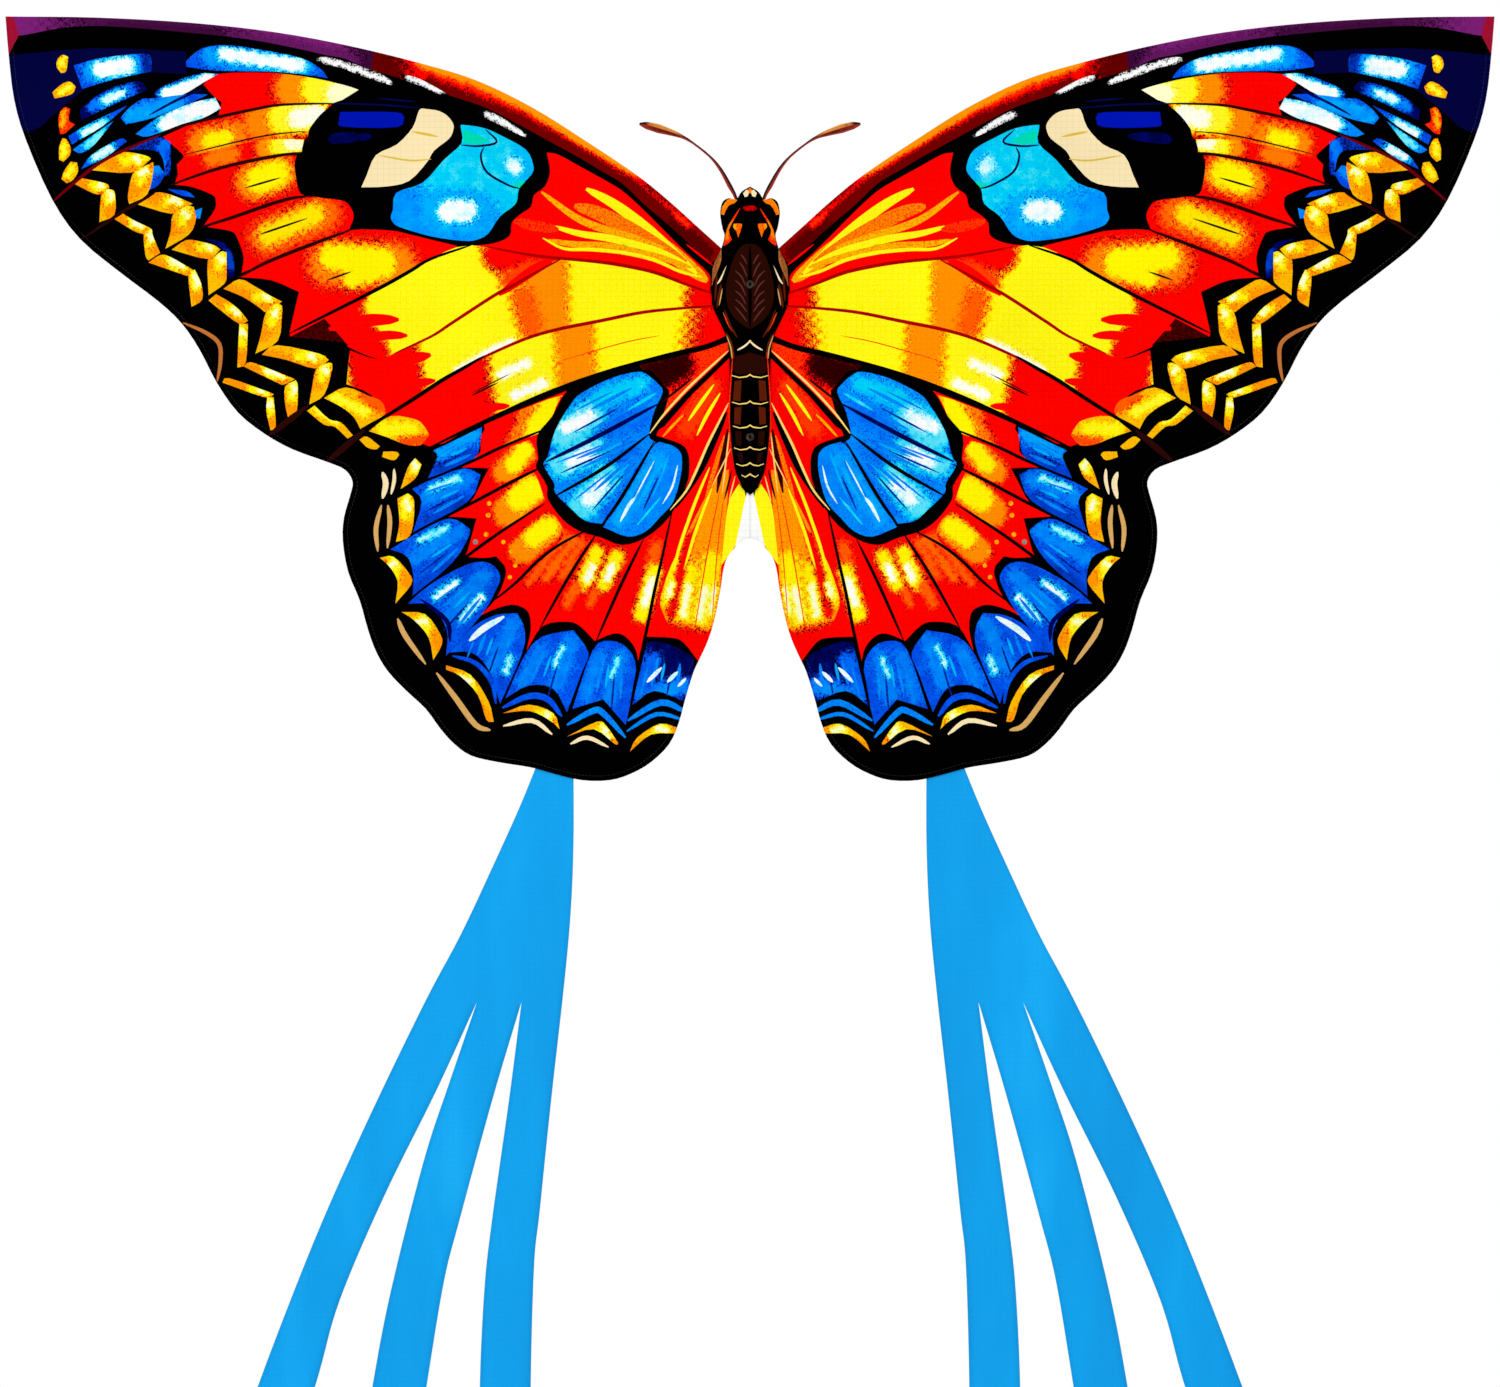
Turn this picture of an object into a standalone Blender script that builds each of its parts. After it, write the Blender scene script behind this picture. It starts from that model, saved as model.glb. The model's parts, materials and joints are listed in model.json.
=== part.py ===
"""A single-line butterfly kite, 1.40 m across, standing upright in its flying attitude.

Frame: +X to the right, +Y away from the flyer (downwind), +Z up the spine. The printed side faces
-Y. The origin is on the front of the sail, where the spine and the cross spar cross behind it.

Lists of outline points are in millimetres for the right half (x to the outside, z up), and each is
the smallest set that a smooth curve through them needs. The left half is their mirror image.
"""

import math

import bmesh
import bpy
from mathutils import Matrix, Vector

MM = 0.001

# ---- driving dimensions, in metres ---------------------------------------------------------------
CLEAR = 0.0003              # gap left between pieces that touch
SAIL_T = 0.0010             # thickness that stands for the sail cloth
PATCH_T = 0.0008            # reinforcing patches sewn to the back of the sail
HINGE_X = 0.04015           # fold line of each wing, beside the body
HINGE_GAP = 0.00015         # half the gap at that fold line
CENTRE_BOTTOM = -0.214      # lower end of the centre strip, at the top of the notch

SPINE_R = 0.0025            # fibreglass spine
SPINE_TOP = 0.098
SPINE_BOTTOM = -0.204
CROSS_R = 0.0025            # cross spar
CROSS_HALF = 0.505          # from the spine to either end of the cross spar
EDGE_R = 0.0020             # leading-edge spars and hindwing struts
SLEEVE_WALL = 0.0009
EDGE_SLEEVE_R = EDGE_R + CLEAR + SLEEVE_WALL
SPINE_SLEEVE_R = SPINE_R + CLEAR + SLEEVE_WALL
EDGE_INSET = 0.0055         # leading-edge spar below the edge of the sail
EDGE_SPAR_FROM = 0.046      # its ends, from the spine
EDGE_SPAR_TO = 0.688
EDGE_SPAR_POINTS = 32
CAP_LENGTH = 0.014          # vinyl end caps
CAP_WALL = 0.0008
CAP_FLOOR = 0.0020
CAP_REACH = CAP_FLOOR + CLEAR
FERRULE_HALF = 0.035
FERRULE_R = CROSS_R + CLEAR + 0.0008

BODY_T = 0.0020             # stiff body panel on the front
EYELET_HOLE_R = 0.0018
EYELET_BARREL_R = 0.0024
EYELET_FLANGE_R = 0.0040
EYELET_RIM = 0.0006
UPPER_EYELET_Z = 0.0240
LOWER_EYELET_Z = -0.1195

# Layers behind the sail, each a gap behind the one before.
PATCH_Y = SAIL_T + CLEAR
ROD_LAYER_Y = PATCH_Y + PATCH_T + CLEAR
EDGE_Y = ROD_LAYER_Y + EDGE_SLEEVE_R
SPINE_Y = ROD_LAYER_Y + SPINE_SLEEVE_R
CROSS_Y = SPINE_Y + SPINE_R + CLEAR + 0.0008 + FERRULE_R + CLEAR
FITTING_BACK_Y = CROSS_Y + FERRULE_R + 0.0008

FITTING_SIZE_X = 0.024
FITTING_SIZE_Z = 0.026
CLIP_SIZE_X = 0.020
CLIP_SIZE_Z = 0.016
CLIP_X = 0.478              # middle of each wing's cross-spar clip
CLIP_PATCH_R = 0.020

# Cloth sleeves on the spine, from one height to the other. The bare rod between them, behind
# each eyelet, is where a bridle line ties on.
SPINE_SLEEVES = (("upper", 0.0310, 0.0640), ("middle", -0.1110, -0.0195), ("lower", -0.1880, -0.1280))
STOPPER_LENGTH = 0.0040
STOPPER_WALL = 0.0016
POCKET_LENGTH = 0.030
SOCKET_LENGTH = 0.015
SOCKET_WALL = 0.0006

TAIL_TOP = -0.4190          # stitch line that the tail hangs from
TAIL_BOTTOM = -1.335
TAIL_T = 0.0010
TAIL_Y = PATCH_Y + TAIL_T / 2
TAIL_HEADER = 0.012         # the tail's upper end, sewn flat to the wing
TAIL_WAVE = 0.013           # ripple of the streaming tail
TAIL_RIPPLES = 2.1
STRIP_LAG = 0.16            # how the ripple differs from strip to strip, in turns per metre
TAIL_DRIFT = 0.030          # how far its end is blown back
TAIL_ROWS = 40

# ---- outlines, right half, millimetres -----------------------------------------------------------
LEADING_EDGE = [
    (28, 59), (48, 77), (78, 104), (108, 128), (156, 160), (204, 190), (255, 215), (306, 231),
    (375, 248), (445, 261), (525, 270), (615, 275), (700, 276),
]
WING_MARGIN = [
    (700, 276), (697, 240), (692, 198), (681, 160), (656, 104), (630, 67), (593, 36), (556, 8),
    (534, -13), (517, -38), (501, -69), (482, -96), (457, -116), (430, -131), (397, -143),
    (381, -150), (374, -161), (376, -173), (382, -195), (383, -217), (378, -246), (367, -273),
    (359, -301), (351, -322), (340, -340), (323, -358), (305, -375), (291, -394), (278, -408),
    (262, -419), (237, -425), (206, -430), (184, -436), (158, -442), (132, -442), (112, -436),
    (93, -425), (76, -408), (67, -388), (61, -366), (53, -340), (46, -325), (39, -309),
    (33, -289), (28, -264), (25, -244), (21, -232), (14, -223),
]
BODY = [
    (0, 116), (8, 111), (13, 104), (20, 105), (26, 101), (28, 90), (26, 77), (24, 69), (28, 55),
    (34, 43), (37, 26), (35, 7), (29, -8), (23, -22), (20, -38), (19, -63), (20, -87), (20, -111),
    (18, -130), (15, -147), (11, -161), (7, -168), (0, -174),
]
ANTENNA = [
    (8.6, 84), (13, 105), (19, 117), (28, 133), (38, 145), (53, 157), (63, 163), (73, 167),
    (86, 171), (97, 174), (104, 175.5),
]
ANTENNA_RADII = [1.5, 1.5, 2.2, 1.7, 1.1, 1.0, 1.6, 3.0, 4.3, 3.6, 1.2]

# The tail's edges from the outer one inwards: a slit has two sides that start at one point.
TAIL_EDGES = [
    [(197, -419), (217, -468), (241, -521), (272, -587), (306, -651), (361, -765), (411, -877),
     (464, -1012), (500, -1120), (530, -1230), (552, -1335)],
    [(257, -651), (295, -734), (345, -835), (388, -935), (410, -1012), (446, -1120), (476, -1230),
     (498, -1335)],
    [(257, -651), (284, -730), (307, -800), (339, -924), (356, -1012), (372, -1120), (383, -1230),
     (390, -1335)],
    [(215, -651), (241, -738), (273, -854), (289, -916), (305, -1012), (321, -1120), (333, -1230),
     (340, -1335)],
    [(215, -651), (227, -745), (244, -862), (251, -924), (255, -1012), (254, -1120), (249, -1230),
     (242, -1335)],
    [(166, -419), (166, -501), (169, -571), (176, -645), (186, -734), (198, -846), (204, -901),
     (207, -1012), (205, -1120), (200, -1230), (193, -1335)],
]
TAIL_SLIT_TOP = -0.651      # where the trunk divides into three strips
STRUT_INNER = Vector((0.052, EDGE_Y, -0.046))
STRUT_OUTER = Vector((0.166, EDGE_Y, -0.396))

# Patches: along and across the strut's end, and in x and z.
STRUT_PATCH = [(-19, -10), (-10, -13), (19, -9), (19, 9), (-10, 13), (-19, 10)]
WING_TIP_PATCH = [(686, 264), (690, 232), (685, 200), (660, 236), (628, 262)]
NOSE_PATCH = [(0, 110), (9, 104), (20, 99), (24, 90), (22, 78), (20, 73)]

COLOURS = {
    "sail_print": ((0.86, 0.16, 0.02), 0.55, 0.0),
    "tail_ribbon": ((0.0, 0.35, 0.83), 0.50, 0.0),
    "black_cloth": ((0.015, 0.015, 0.017), 0.85, 0.0),
    "body_print": ((0.10, 0.03, 0.02), 0.70, 0.0),
    "fibreglass": ((0.03, 0.03, 0.03), 0.35, 0.0),
    "vinyl": ((0.04, 0.04, 0.045), 0.60, 0.0),
    "moulding": ((0.02, 0.02, 0.022), 0.40, 0.0),
    "antenna_plastic": ((0.25, 0.03, 0.02), 0.35, 0.0),
    "eyelet_metal": ((0.10, 0.09, 0.08), 0.35, 1.0),
}


# ---- curves through points -----------------------------------------------------------------------
def catmull_rom(points, steps):
    """A smooth open curve through the points, with that many steps between two of them."""
    ends = [points[0] * 2 - points[1]] + points + [points[-1] * 2 - points[-2]]
    curve = []
    for a, b, c, d in zip(ends, ends[1:], ends[2:], ends[3:]):
        for i in range(steps):
            t = i / steps
            curve.append(
                0.5 * (2 * b + (c - a) * t + (2 * a - 5 * b + 4 * c - d) * t ** 2
                       + (3 * b - a - 3 * c + d) * t ** 3)
            )
    return curve + [points[-1]]


def smooth(outline_mm, steps):
    return catmull_rom([Vector(p) * MM for p in outline_mm], steps)


def resampled(curve, count):
    """That many points at equal spacing along a curve."""
    lengths = [0.0]
    for a, b in zip(curve, curve[1:]):
        lengths.append(lengths[-1] + (b - a).length)
    points = []
    k = 0
    for i in range(count):
        target = lengths[-1] * i / (count - 1)
        while k < len(curve) - 2 and lengths[k + 1] < target:
            k += 1
        share = (target - lengths[k]) / max(lengths[k + 1] - lengths[k], 1e-12)
        points.append(curve[k].lerp(curve[k + 1], min(1.0, share)))
    return points


def at_height(curve, z):
    """The curve's x where it passes height z. The curve runs downwards."""
    for a, b in zip(curve, curve[1:]):
        if b.y <= z:
            share = (z - a.y) / min(b.y - a.y, -1e-12)
            return a.x + (b.x - a.x) * min(1.0, max(0.0, share))
    return curve[-1].x


# ---- making objects ------------------------------------------------------------------------------
def clear_scene():
    for obj in list(bpy.data.objects):
        bpy.data.objects.remove(obj, do_unlink=True)


def material(slot):
    found = bpy.data.materials.get(slot)
    if found:
        return found
    colour, roughness, metallic = COLOURS[slot]
    made = bpy.data.materials.new(slot)
    made.use_nodes = True
    shader = made.node_tree.nodes["Principled BSDF"]
    shader.inputs["Base Color"].default_value = (*colour, 1.0)
    shader.inputs["Roughness"].default_value = roughness
    shader.inputs["Metallic"].default_value = metallic
    return made


def add_object(name, data, slot):
    obj = bpy.data.objects.new(name, data)
    data.materials.append(material(slot))
    bpy.context.scene.collection.objects.link(obj)
    return obj


def from_bmesh(name, bm, slot, soft_edges=True):
    bmesh.ops.recalc_face_normals(bm, faces=bm.faces[:])
    mesh = bpy.data.meshes.new(name)
    bm.to_mesh(mesh)
    bm.free()
    if soft_edges:
        mesh.shade_smooth()
        mesh.set_sharp_from_angle(angle=math.radians(40))
    return add_object(name, mesh, slot)


def plate(name, outline, y_front, thickness, slot, crown=0.0):
    """A flat plate with that outline in XZ. Its front edge is stepped back by crown, if given."""
    bm = bmesh.new()
    front = bm.faces.new([bm.verts.new((p.x, y_front + thickness, p.y)) for p in outline])
    body = bmesh.ops.extrude_face_region(bm, geom=[front])
    moved = [v for v in body["geom"] if isinstance(v, bmesh.types.BMVert)]
    bmesh.ops.translate(bm, verts=moved, vec=(0, -thickness + crown, 0))
    if crown:
        top = [f for f in body["geom"] if isinstance(f, bmesh.types.BMFace)]
        bmesh.ops.inset_region(bm, faces=top, thickness=crown, use_even_offset=True)
        bmesh.ops.translate(bm, verts=top[0].verts[:], vec=(0, -crown, 0))
    return from_bmesh(name, bm, slot, soft_edges=False)


def turned(name, profile, start, direction, slot, sides=16):
    """A closed profile of (radius, distance along the axis), turned about the axis."""
    bm = bmesh.new()
    loop = [bm.verts.new((r, 0, d)) for r, d in profile]
    edges = [bm.edges.new((a, b)) for a, b in zip(loop, loop[1:] + loop[:1])]
    bmesh.ops.spin(
        bm, geom=loop + edges, cent=(0, 0, 0), axis=(0, 0, 1), angle=2 * math.pi, steps=sides,
        use_merge=True,
    )
    bmesh.ops.remove_doubles(bm, verts=bm.verts[:], dist=1e-6)
    lone = [e for e in bm.edges if not e.link_faces]
    bmesh.ops.delete(bm, geom=lone, context="EDGES")
    turn = Vector((0, 0, 1)).rotation_difference(Vector(direction)).to_matrix().to_4x4()
    obj = from_bmesh(name, bm, slot)
    obj.matrix_world = Matrix.Translation(start) @ turn
    return obj


def rod(name, start, end, radius, slot="fibreglass"):
    length = (end - start).length
    chamfer = radius * 0.2
    profile = [
        (0, 0), (radius - chamfer, 0), (radius, chamfer), (radius, length - chamfer),
        (radius - chamfer, length), (0, length),
    ]
    return turned(name, profile, start, end - start, slot, sides=12)


def tube(name, start, end, inner, outer, slot):
    length = (end - start).length
    profile = [(inner, 0), (outer, 0), (outer, length), (inner, length)]
    return turned(name, profile, start, end - start, slot, sides=12)


def end_cap(name, tip, inwards, rod_radius, slot="vinyl", length=CAP_LENGTH, wall=CAP_WALL):
    """A closed cap: its tip is at tip, and the rod goes in along inwards up to its floor."""
    inner = rod_radius + CLEAR
    outer = inner + wall
    profile = [
        (0, 0), (outer * 0.8, 0), (outer, outer * 0.25), (outer, length), (inner, length),
        (inner, CAP_FLOOR), (0, CAP_FLOOR),
    ]
    return turned(name, profile, tip, inwards, slot, sides=12)


def curved_rod(name, points, radius, slot, resolution=2, radii=None, filled=True):
    """A curve with a round bevel through 3-D points."""
    data = bpy.data.curves.new(name, "CURVE")
    data.dimensions = "3D"
    data.bevel_depth = radius
    data.bevel_resolution = resolution
    data.use_fill_caps = filled
    spline = data.splines.new("POLY")
    spline.points.add(len(points) - 1)
    for i, p in enumerate(points):
        spline.points[i].co = (*p, 1.0)
        spline.points[i].radius = radii[i] if radii else 1.0
    return add_object(name, data, slot)


def cut(obj, cutter):
    """Cuts a helper out of obj, whose mesh is in world coordinates. The helper stays, unseen."""
    cutter.hide_render = True
    cutter.display_type = "WIRE"
    cutter.parent = obj
    modifier = obj.modifiers.new("cut_" + cutter.name, "BOOLEAN")
    modifier.object = cutter
    modifier.operation = "DIFFERENCE"
    modifier.solver = "EXACT"


def joint_empty(name, location, pieces, parent=None):
    """An empty on a joint's axis, which the pieces that move there hang from."""
    empty = bpy.data.objects.new(name, None)
    empty.empty_display_size = 0.02
    bpy.context.scene.collection.objects.link(empty)
    empty.location = location
    if parent:
        empty.parent = parent
        empty.matrix_parent_inverse = Matrix.Translation(-Vector(parent.location))
    for piece in pieces:
        piece.parent = empty
        piece.matrix_parent_inverse = Matrix.Translation(-Vector(location))
    return empty


def rounded_block(name, low, high, radius):
    """A moulded block between two corners, with its edges rounded over."""
    bm = bmesh.new()
    bmesh.ops.create_cube(bm, size=1.0)
    low, high = Vector(low), Vector(high)
    bmesh.ops.scale(bm, vec=high - low, verts=bm.verts)
    bmesh.ops.translate(bm, vec=(low + high) / 2, verts=bm.verts)
    block = from_bmesh(name, bm, "moulding", soft_edges=False)
    bevel = block.modifiers.new("rounded", "BEVEL")
    bevel.width = radius
    bevel.segments = 2
    return block


def round_cutter(name, start, end, radius):
    length = (end - start).length
    profile = [(0, 0), (radius, 0), (radius, length), (0, length)]
    return turned(name, profile, start, end - start, "moulding", sides=24)


def channel_cutter(name, half_length, radius, middle_x):
    """A round-bottomed channel along X, open at the back, for the cross spar to snap into."""
    bm = bmesh.new()
    steps = 12
    back_y = CROSS_Y + 0.02
    section = [
        (CROSS_Y - radius * math.sin(math.pi * i / steps), radius * math.cos(math.pi * i / steps))
        for i in range(steps + 1)
    ]
    section += [(back_y, -radius), (back_y, radius)]
    face = bm.faces.new([bm.verts.new((middle_x - half_length, y, z)) for y, z in section])
    grown = bmesh.ops.extrude_face_region(bm, geom=[face])
    moved = [v for v in grown["geom"] if isinstance(v, bmesh.types.BMVert)]
    bmesh.ops.translate(bm, verts=moved, vec=(2 * half_length, 0, 0))
    return from_bmesh(name, bm, "moulding", soft_edges=False)


# ---- the kite's outlines in metres ---------------------------------------------------------------
def mirrored(points, side):
    return [Vector((p.x * side, *p[1:])) for p in points]


def wing_outline():
    """The wing panel outside its fold line, from the top of the fold line round and back."""
    edge = [p for p in smooth(LEADING_EDGE, 3) if p.x > HINGE_X + HINGE_GAP + 0.002]
    margin = smooth(WING_MARGIN, 3)
    start = HINGE_X + HINGE_GAP
    top = Vector((start, edge[0].y - (edge[0].x - start) * 0.9))
    inner_low = Vector((start, CENTRE_BOTTOM - 2 * CLEAR))
    notch_top = Vector((0.017, CENTRE_BOTTOM - 2 * CLEAR))
    return [top] + edge + margin[1:] + [notch_top, inner_low]


def centre_outline():
    """The strip of sail behind the body, between the two fold lines."""
    side = HINGE_X - HINGE_GAP
    half = [Vector((0.024, 0.055)), Vector((0.028, 0.059)), Vector((side, 0.0695))]
    half += [Vector((side, CENTRE_BOTTOM))]
    return half + [Vector((-p.x, p.y)) for p in reversed(half)]


def body_outline():
    half = smooth(BODY, 2)
    return half + [Vector((-p.x, p.y)) for p in reversed(half[1:-1])]


def edge_spar_path(side):
    """The leading-edge spar's line, just below the edge of the sail."""
    edge = smooth(LEADING_EDGE, 8)
    line = []
    for a, b, c in zip(edge, edge[1:], edge[2:]):
        across = (c - a).normalized()
        p = b + Vector((across.y, -across.x)) * EDGE_INSET
        if EDGE_SPAR_FROM < p.x < EDGE_SPAR_TO:
            line.append(p)
    return [Vector((p.x * side, EDGE_Y, p.y)) for p in resampled(line, EDGE_SPAR_POINTS)]


# ---- the pieces ----------------------------------------------------------------------------------
def spine_pieces():
    """The spine rod, the sleeves and stoppers on it, and the pockets that hold its ends."""
    up = Vector((0, 0, 1))
    at = Vector((0, SPINE_Y, 0))
    rod("spine_rod", at + up * SPINE_BOTTOM, at + up * SPINE_TOP, SPINE_R)
    inner = SPINE_R + CLEAR
    for name, low, high in SPINE_SLEEVES:
        tube(
            "spine_sleeve_" + name, at + up * low, at + up * high, inner, SPINE_SLEEVE_R,
            "black_cloth",
        )
    for name, sign in (("upper", 1), ("lower", -1)):
        near = at + up * sign * (FITTING_SIZE_Z / 2 + CLEAR)
        tube(
            "spine_stopper_" + name, near, near + up * sign * STOPPER_LENGTH, inner,
            inner + STOPPER_WALL, "vinyl",
        )
    end_cap("spine_cap_bottom", at + up * (SPINE_BOTTOM - CAP_REACH), up, SPINE_R)
    end_cap(
        "nose_pocket", at + up * (SPINE_TOP + CAP_REACH), -up, SPINE_R, "black_cloth",
        length=POCKET_LENGTH, wall=SLEEVE_WALL,
    )
    half = [Vector(p) * MM for p in NOSE_PATCH]
    outline = half + [Vector((-p.x, p.y)) for p in reversed(half[1:])]
    plate("nose_patch", outline, 0, SAIL_T, "black_cloth")


def centre_fitting():
    """The moulding on the spine, with a channel at the back that the cross spar snaps into."""
    half_x = FITTING_SIZE_X / 2
    half_z = FITTING_SIZE_Z / 2
    front = ROD_LAYER_Y + 0.0006
    block = rounded_block(
        "centre_fitting", (-half_x, front, -half_z), (half_x, FITTING_BACK_Y, half_z), 0.0012
    )
    past = half_z + 0.01
    cut(block, round_cutter(
        "spine_bore", Vector((0, SPINE_Y, -past)), Vector((0, SPINE_Y, past)), SPINE_R + CLEAR
    ))
    cut(block, channel_cutter("ferrule_channel", half_x + 0.01, FERRULE_R + CLEAR, 0))


def body_pieces():
    """The stiff body panel on the front, the strip of sail behind it, and the bridle eyelets."""
    panel = plate(
        "body_panel", body_outline(), -CLEAR - BODY_T, BODY_T, "body_print", crown=0.0006
    )
    strip = plate("sail_centre", centre_outline(), 0, SAIL_T, "sail_print")
    front = -CLEAR - BODY_T - CLEAR
    barrel = PATCH_Y - front
    profile = [
        (EYELET_HOLE_R, -EYELET_RIM), (EYELET_FLANGE_R - EYELET_RIM, -EYELET_RIM),
        (EYELET_FLANGE_R, 0), (EYELET_BARREL_R, 0), (EYELET_BARREL_R, barrel),
        (EYELET_FLANGE_R, barrel), (EYELET_FLANGE_R, barrel + EYELET_RIM),
        (EYELET_HOLE_R, barrel + EYELET_RIM),
    ]
    for name, z in (("upper", UPPER_EYELET_Z), ("lower", LOWER_EYELET_Z)):
        turned(
            "bridle_eyelet_" + name, profile, Vector((0, front, z)), (0, 1, 0), "eyelet_metal"
        )
        for piece in (panel, strip):
            cut(piece, round_cutter(
                f"eyelet_hole_{name}_{piece.name}", Vector((0, -0.02, z)), Vector((0, 0.02, z)),
                EYELET_BARREL_R + CLEAR,
            ))


def antenna_pieces(side, word):
    """One antenna with a flat club, and the socket behind the head that its stem is pushed into."""
    steps = 3
    stem = ANTENNA_RADII[0] * MM
    y = PATCH_Y + stem + CLEAR + SOCKET_WALL
    line = catmull_rom([Vector((x, y / MM, z)) * MM for x, z in ANTENNA], steps)
    radii = [
        a + (b - a) * i / steps
        for a, b in zip(ANTENNA_RADII, ANTENNA_RADII[1:])
        for i in range(steps)
    ] + ANTENNA_RADII[-1:]
    points = mirrored(line, side)
    curved_rod("antenna_" + word, points, MM, "antenna_plastic", radii=radii)
    way = (points[steps] - points[0]).normalized()
    start = points[0] - way * 0.001
    inner = stem + CLEAR
    tube(
        "antenna_socket_" + word, start, start + way * SOCKET_LENGTH, inner, inner + SOCKET_WALL,
        "black_cloth",
    )


def cross_spar_pieces():
    """The two halves of the cross spar, the ferrule that joins them, and their end caps.

    The right half pulls out of the ferrule, and the left half, the ferrule and all that is on
    them unclip from the kite together.
    """
    middle = Vector((0, CROSS_Y, 0))
    across = Vector((1, 0, 0))
    halves = {}
    for side, word in ((-1, "left"), (1, "right")):
        out = across * side
        halves[word] = [
            rod(
                "cross_spar_" + word, middle + out * 2 * CLEAR, middle + out * CROSS_HALF, CROSS_R
            ),
            end_cap(
                "cross_spar_cap_" + word, middle + out * (CROSS_HALF + CAP_REACH), -out, CROSS_R
            ),
        ]
    ferrule = tube(
        "cross_spar_ferrule", middle - across * FERRULE_HALF, middle + across * FERRULE_HALF,
        CROSS_R + CLEAR, FERRULE_R, "moulding",
    )
    unclips = joint_empty("cross_spar_unclip", middle, halves["left"] + [ferrule])
    joint_empty("cross_spar_right_pull", middle, halves["right"], parent=unclips)


def wing_clip(side, word):
    """The moulded clip near the edge of the wing that the end of the cross spar snaps into."""
    disc = [
        Vector((CLIP_X * side + CLIP_PATCH_R * math.cos(a), CLIP_PATCH_R * math.sin(a)))
        for a in (2 * math.pi * i / 24 for i in range(24))
    ]
    patch = plate("clip_patch_" + word, disc, PATCH_Y, PATCH_T, "black_cloth")
    half_x = CLIP_SIZE_X / 2
    half_z = CLIP_SIZE_Z / 2
    block = rounded_block(
        "cross_spar_clip_" + word, (CLIP_X * side - half_x, ROD_LAYER_Y, -half_z),
        (CLIP_X * side + half_x, CROSS_Y + CROSS_R, half_z), 0.0010,
    )
    cut(block, channel_cutter("clip_channel_" + word, half_x + 0.01, CROSS_R + CLEAR, CLIP_X * side))
    return [patch, block]


def leading_edge(side, word):
    """The curved spar along the top of the wing, its sleeve and its two end caps."""
    full = edge_spar_path(side)
    spar = curved_rod("leading_edge_spar_" + word, full, EDGE_R, "fibreglass")
    sleeve = curved_rod(
        "leading_edge_sleeve_" + word, full[1:-1], EDGE_SLEEVE_R, "black_cloth", filled=False
    )
    wall = sleeve.modifiers.new("wall", "SOLIDIFY")
    wall.thickness = SLEEVE_WALL
    wall.offset = -1
    pieces = [spar, sleeve]
    for end, a, b in (("root", full[0], full[1]), ("tip", full[-1], full[-2])):
        inwards = (b - a).normalized()
        pieces.append(
            end_cap(f"leading_edge_cap_{end}_{word}", a - inwards * CAP_REACH, inwards, EDGE_R)
        )
    return pieces


def hindwing_strut(side, word):
    """The straight strut that spreads the hindwing, and the cloth pockets that hold its ends."""
    inner, outer = mirrored([STRUT_INNER, STRUT_OUTER], side)
    way = (outer - inner).normalized()
    pieces = [rod("hindwing_strut_" + word, inner, outer, EDGE_R)]
    for end, tip, inwards in (("inner", inner, way), ("outer", outer, -way)):
        pocket = end_cap(
            f"strut_pocket_{end}_{word}", tip - inwards * CAP_REACH, inwards, EDGE_R,
            "black_cloth", length=POCKET_LENGTH, wall=SLEEVE_WALL,
        )
        along = Vector((inwards.x, inwards.z))
        across = Vector((inwards.z, -inwards.x))
        middle = Vector((tip.x, tip.z)) + along * 0.013
        corners = [middle + along * u * MM + across * v * MM for u, v in STRUT_PATCH]
        patch = plate(f"strut_patch_{end}_{word}", corners, PATCH_Y, PATCH_T, "black_cloth")
        pieces += [pocket, patch]
    return pieces


def wing_pieces(side, word):
    """One wing: all that folds forward together about the line beside the body."""
    pieces = [plate("sail_" + word, mirrored(wing_outline(), side), 0, SAIL_T, "sail_print")]
    pieces += leading_edge(side, word) + wing_clip(side, word) + hindwing_strut(side, word)
    tip = [Vector((x * side, z)) * MM for x, z in WING_TIP_PATCH]
    pieces.append(plate("wing_tip_patch_" + word, tip, PATCH_Y, PATCH_T, "black_cloth"))
    foot = TAIL_TOP + 2 * CLEAR
    header = [
        Vector((x * side, foot + up))
        for x, up in ((0.166, 0), (0.197, 0), (0.194, TAIL_HEADER), (0.168, TAIL_HEADER))
    ]
    pieces.append(plate("tail_header_" + word, header, PATCH_Y, TAIL_T, "tail_ribbon"))
    return joint_empty(f"wing_{word}_fold", (HINGE_X * side, 0, 0), pieces)


def tail_depth(z, strip):
    """Where the middle of the tail's cloth lies at height z: a ripple that grows downwards."""
    s = (TAIL_TOP - z) / (TAIL_TOP - TAIL_BOTTOM)
    grown = s * s * (3 - 2 * s)
    turns = TAIL_RIPPLES * s + STRIP_LAG * strip * max(0.0, TAIL_SLIT_TOP - z)
    ripple = math.sin(2 * math.pi * turns)
    return TAIL_Y + TAIL_DRIFT * s ** 2 + TAIL_WAVE * grown * ripple


def strip_sides(edges, strip, z):
    """The x of both sides of one strip at height z. Above the slits, the trunk is shared out."""
    if z < TAIL_SLIT_TOP:
        return at_height(edges[2 * strip], z), at_height(edges[2 * strip + 1], z)
    outer, inner = at_height(edges[0], z), at_height(edges[5], z)
    marks = [at_height(edges[k], TAIL_SLIT_TOP) for k in (0, 1, 3, 5)]
    shares = [(m - marks[0]) / (marks[3] - marks[0]) for m in marks]
    return outer + (inner - outer) * shares[strip], outer + (inner - outer) * shares[strip + 1]


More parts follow.
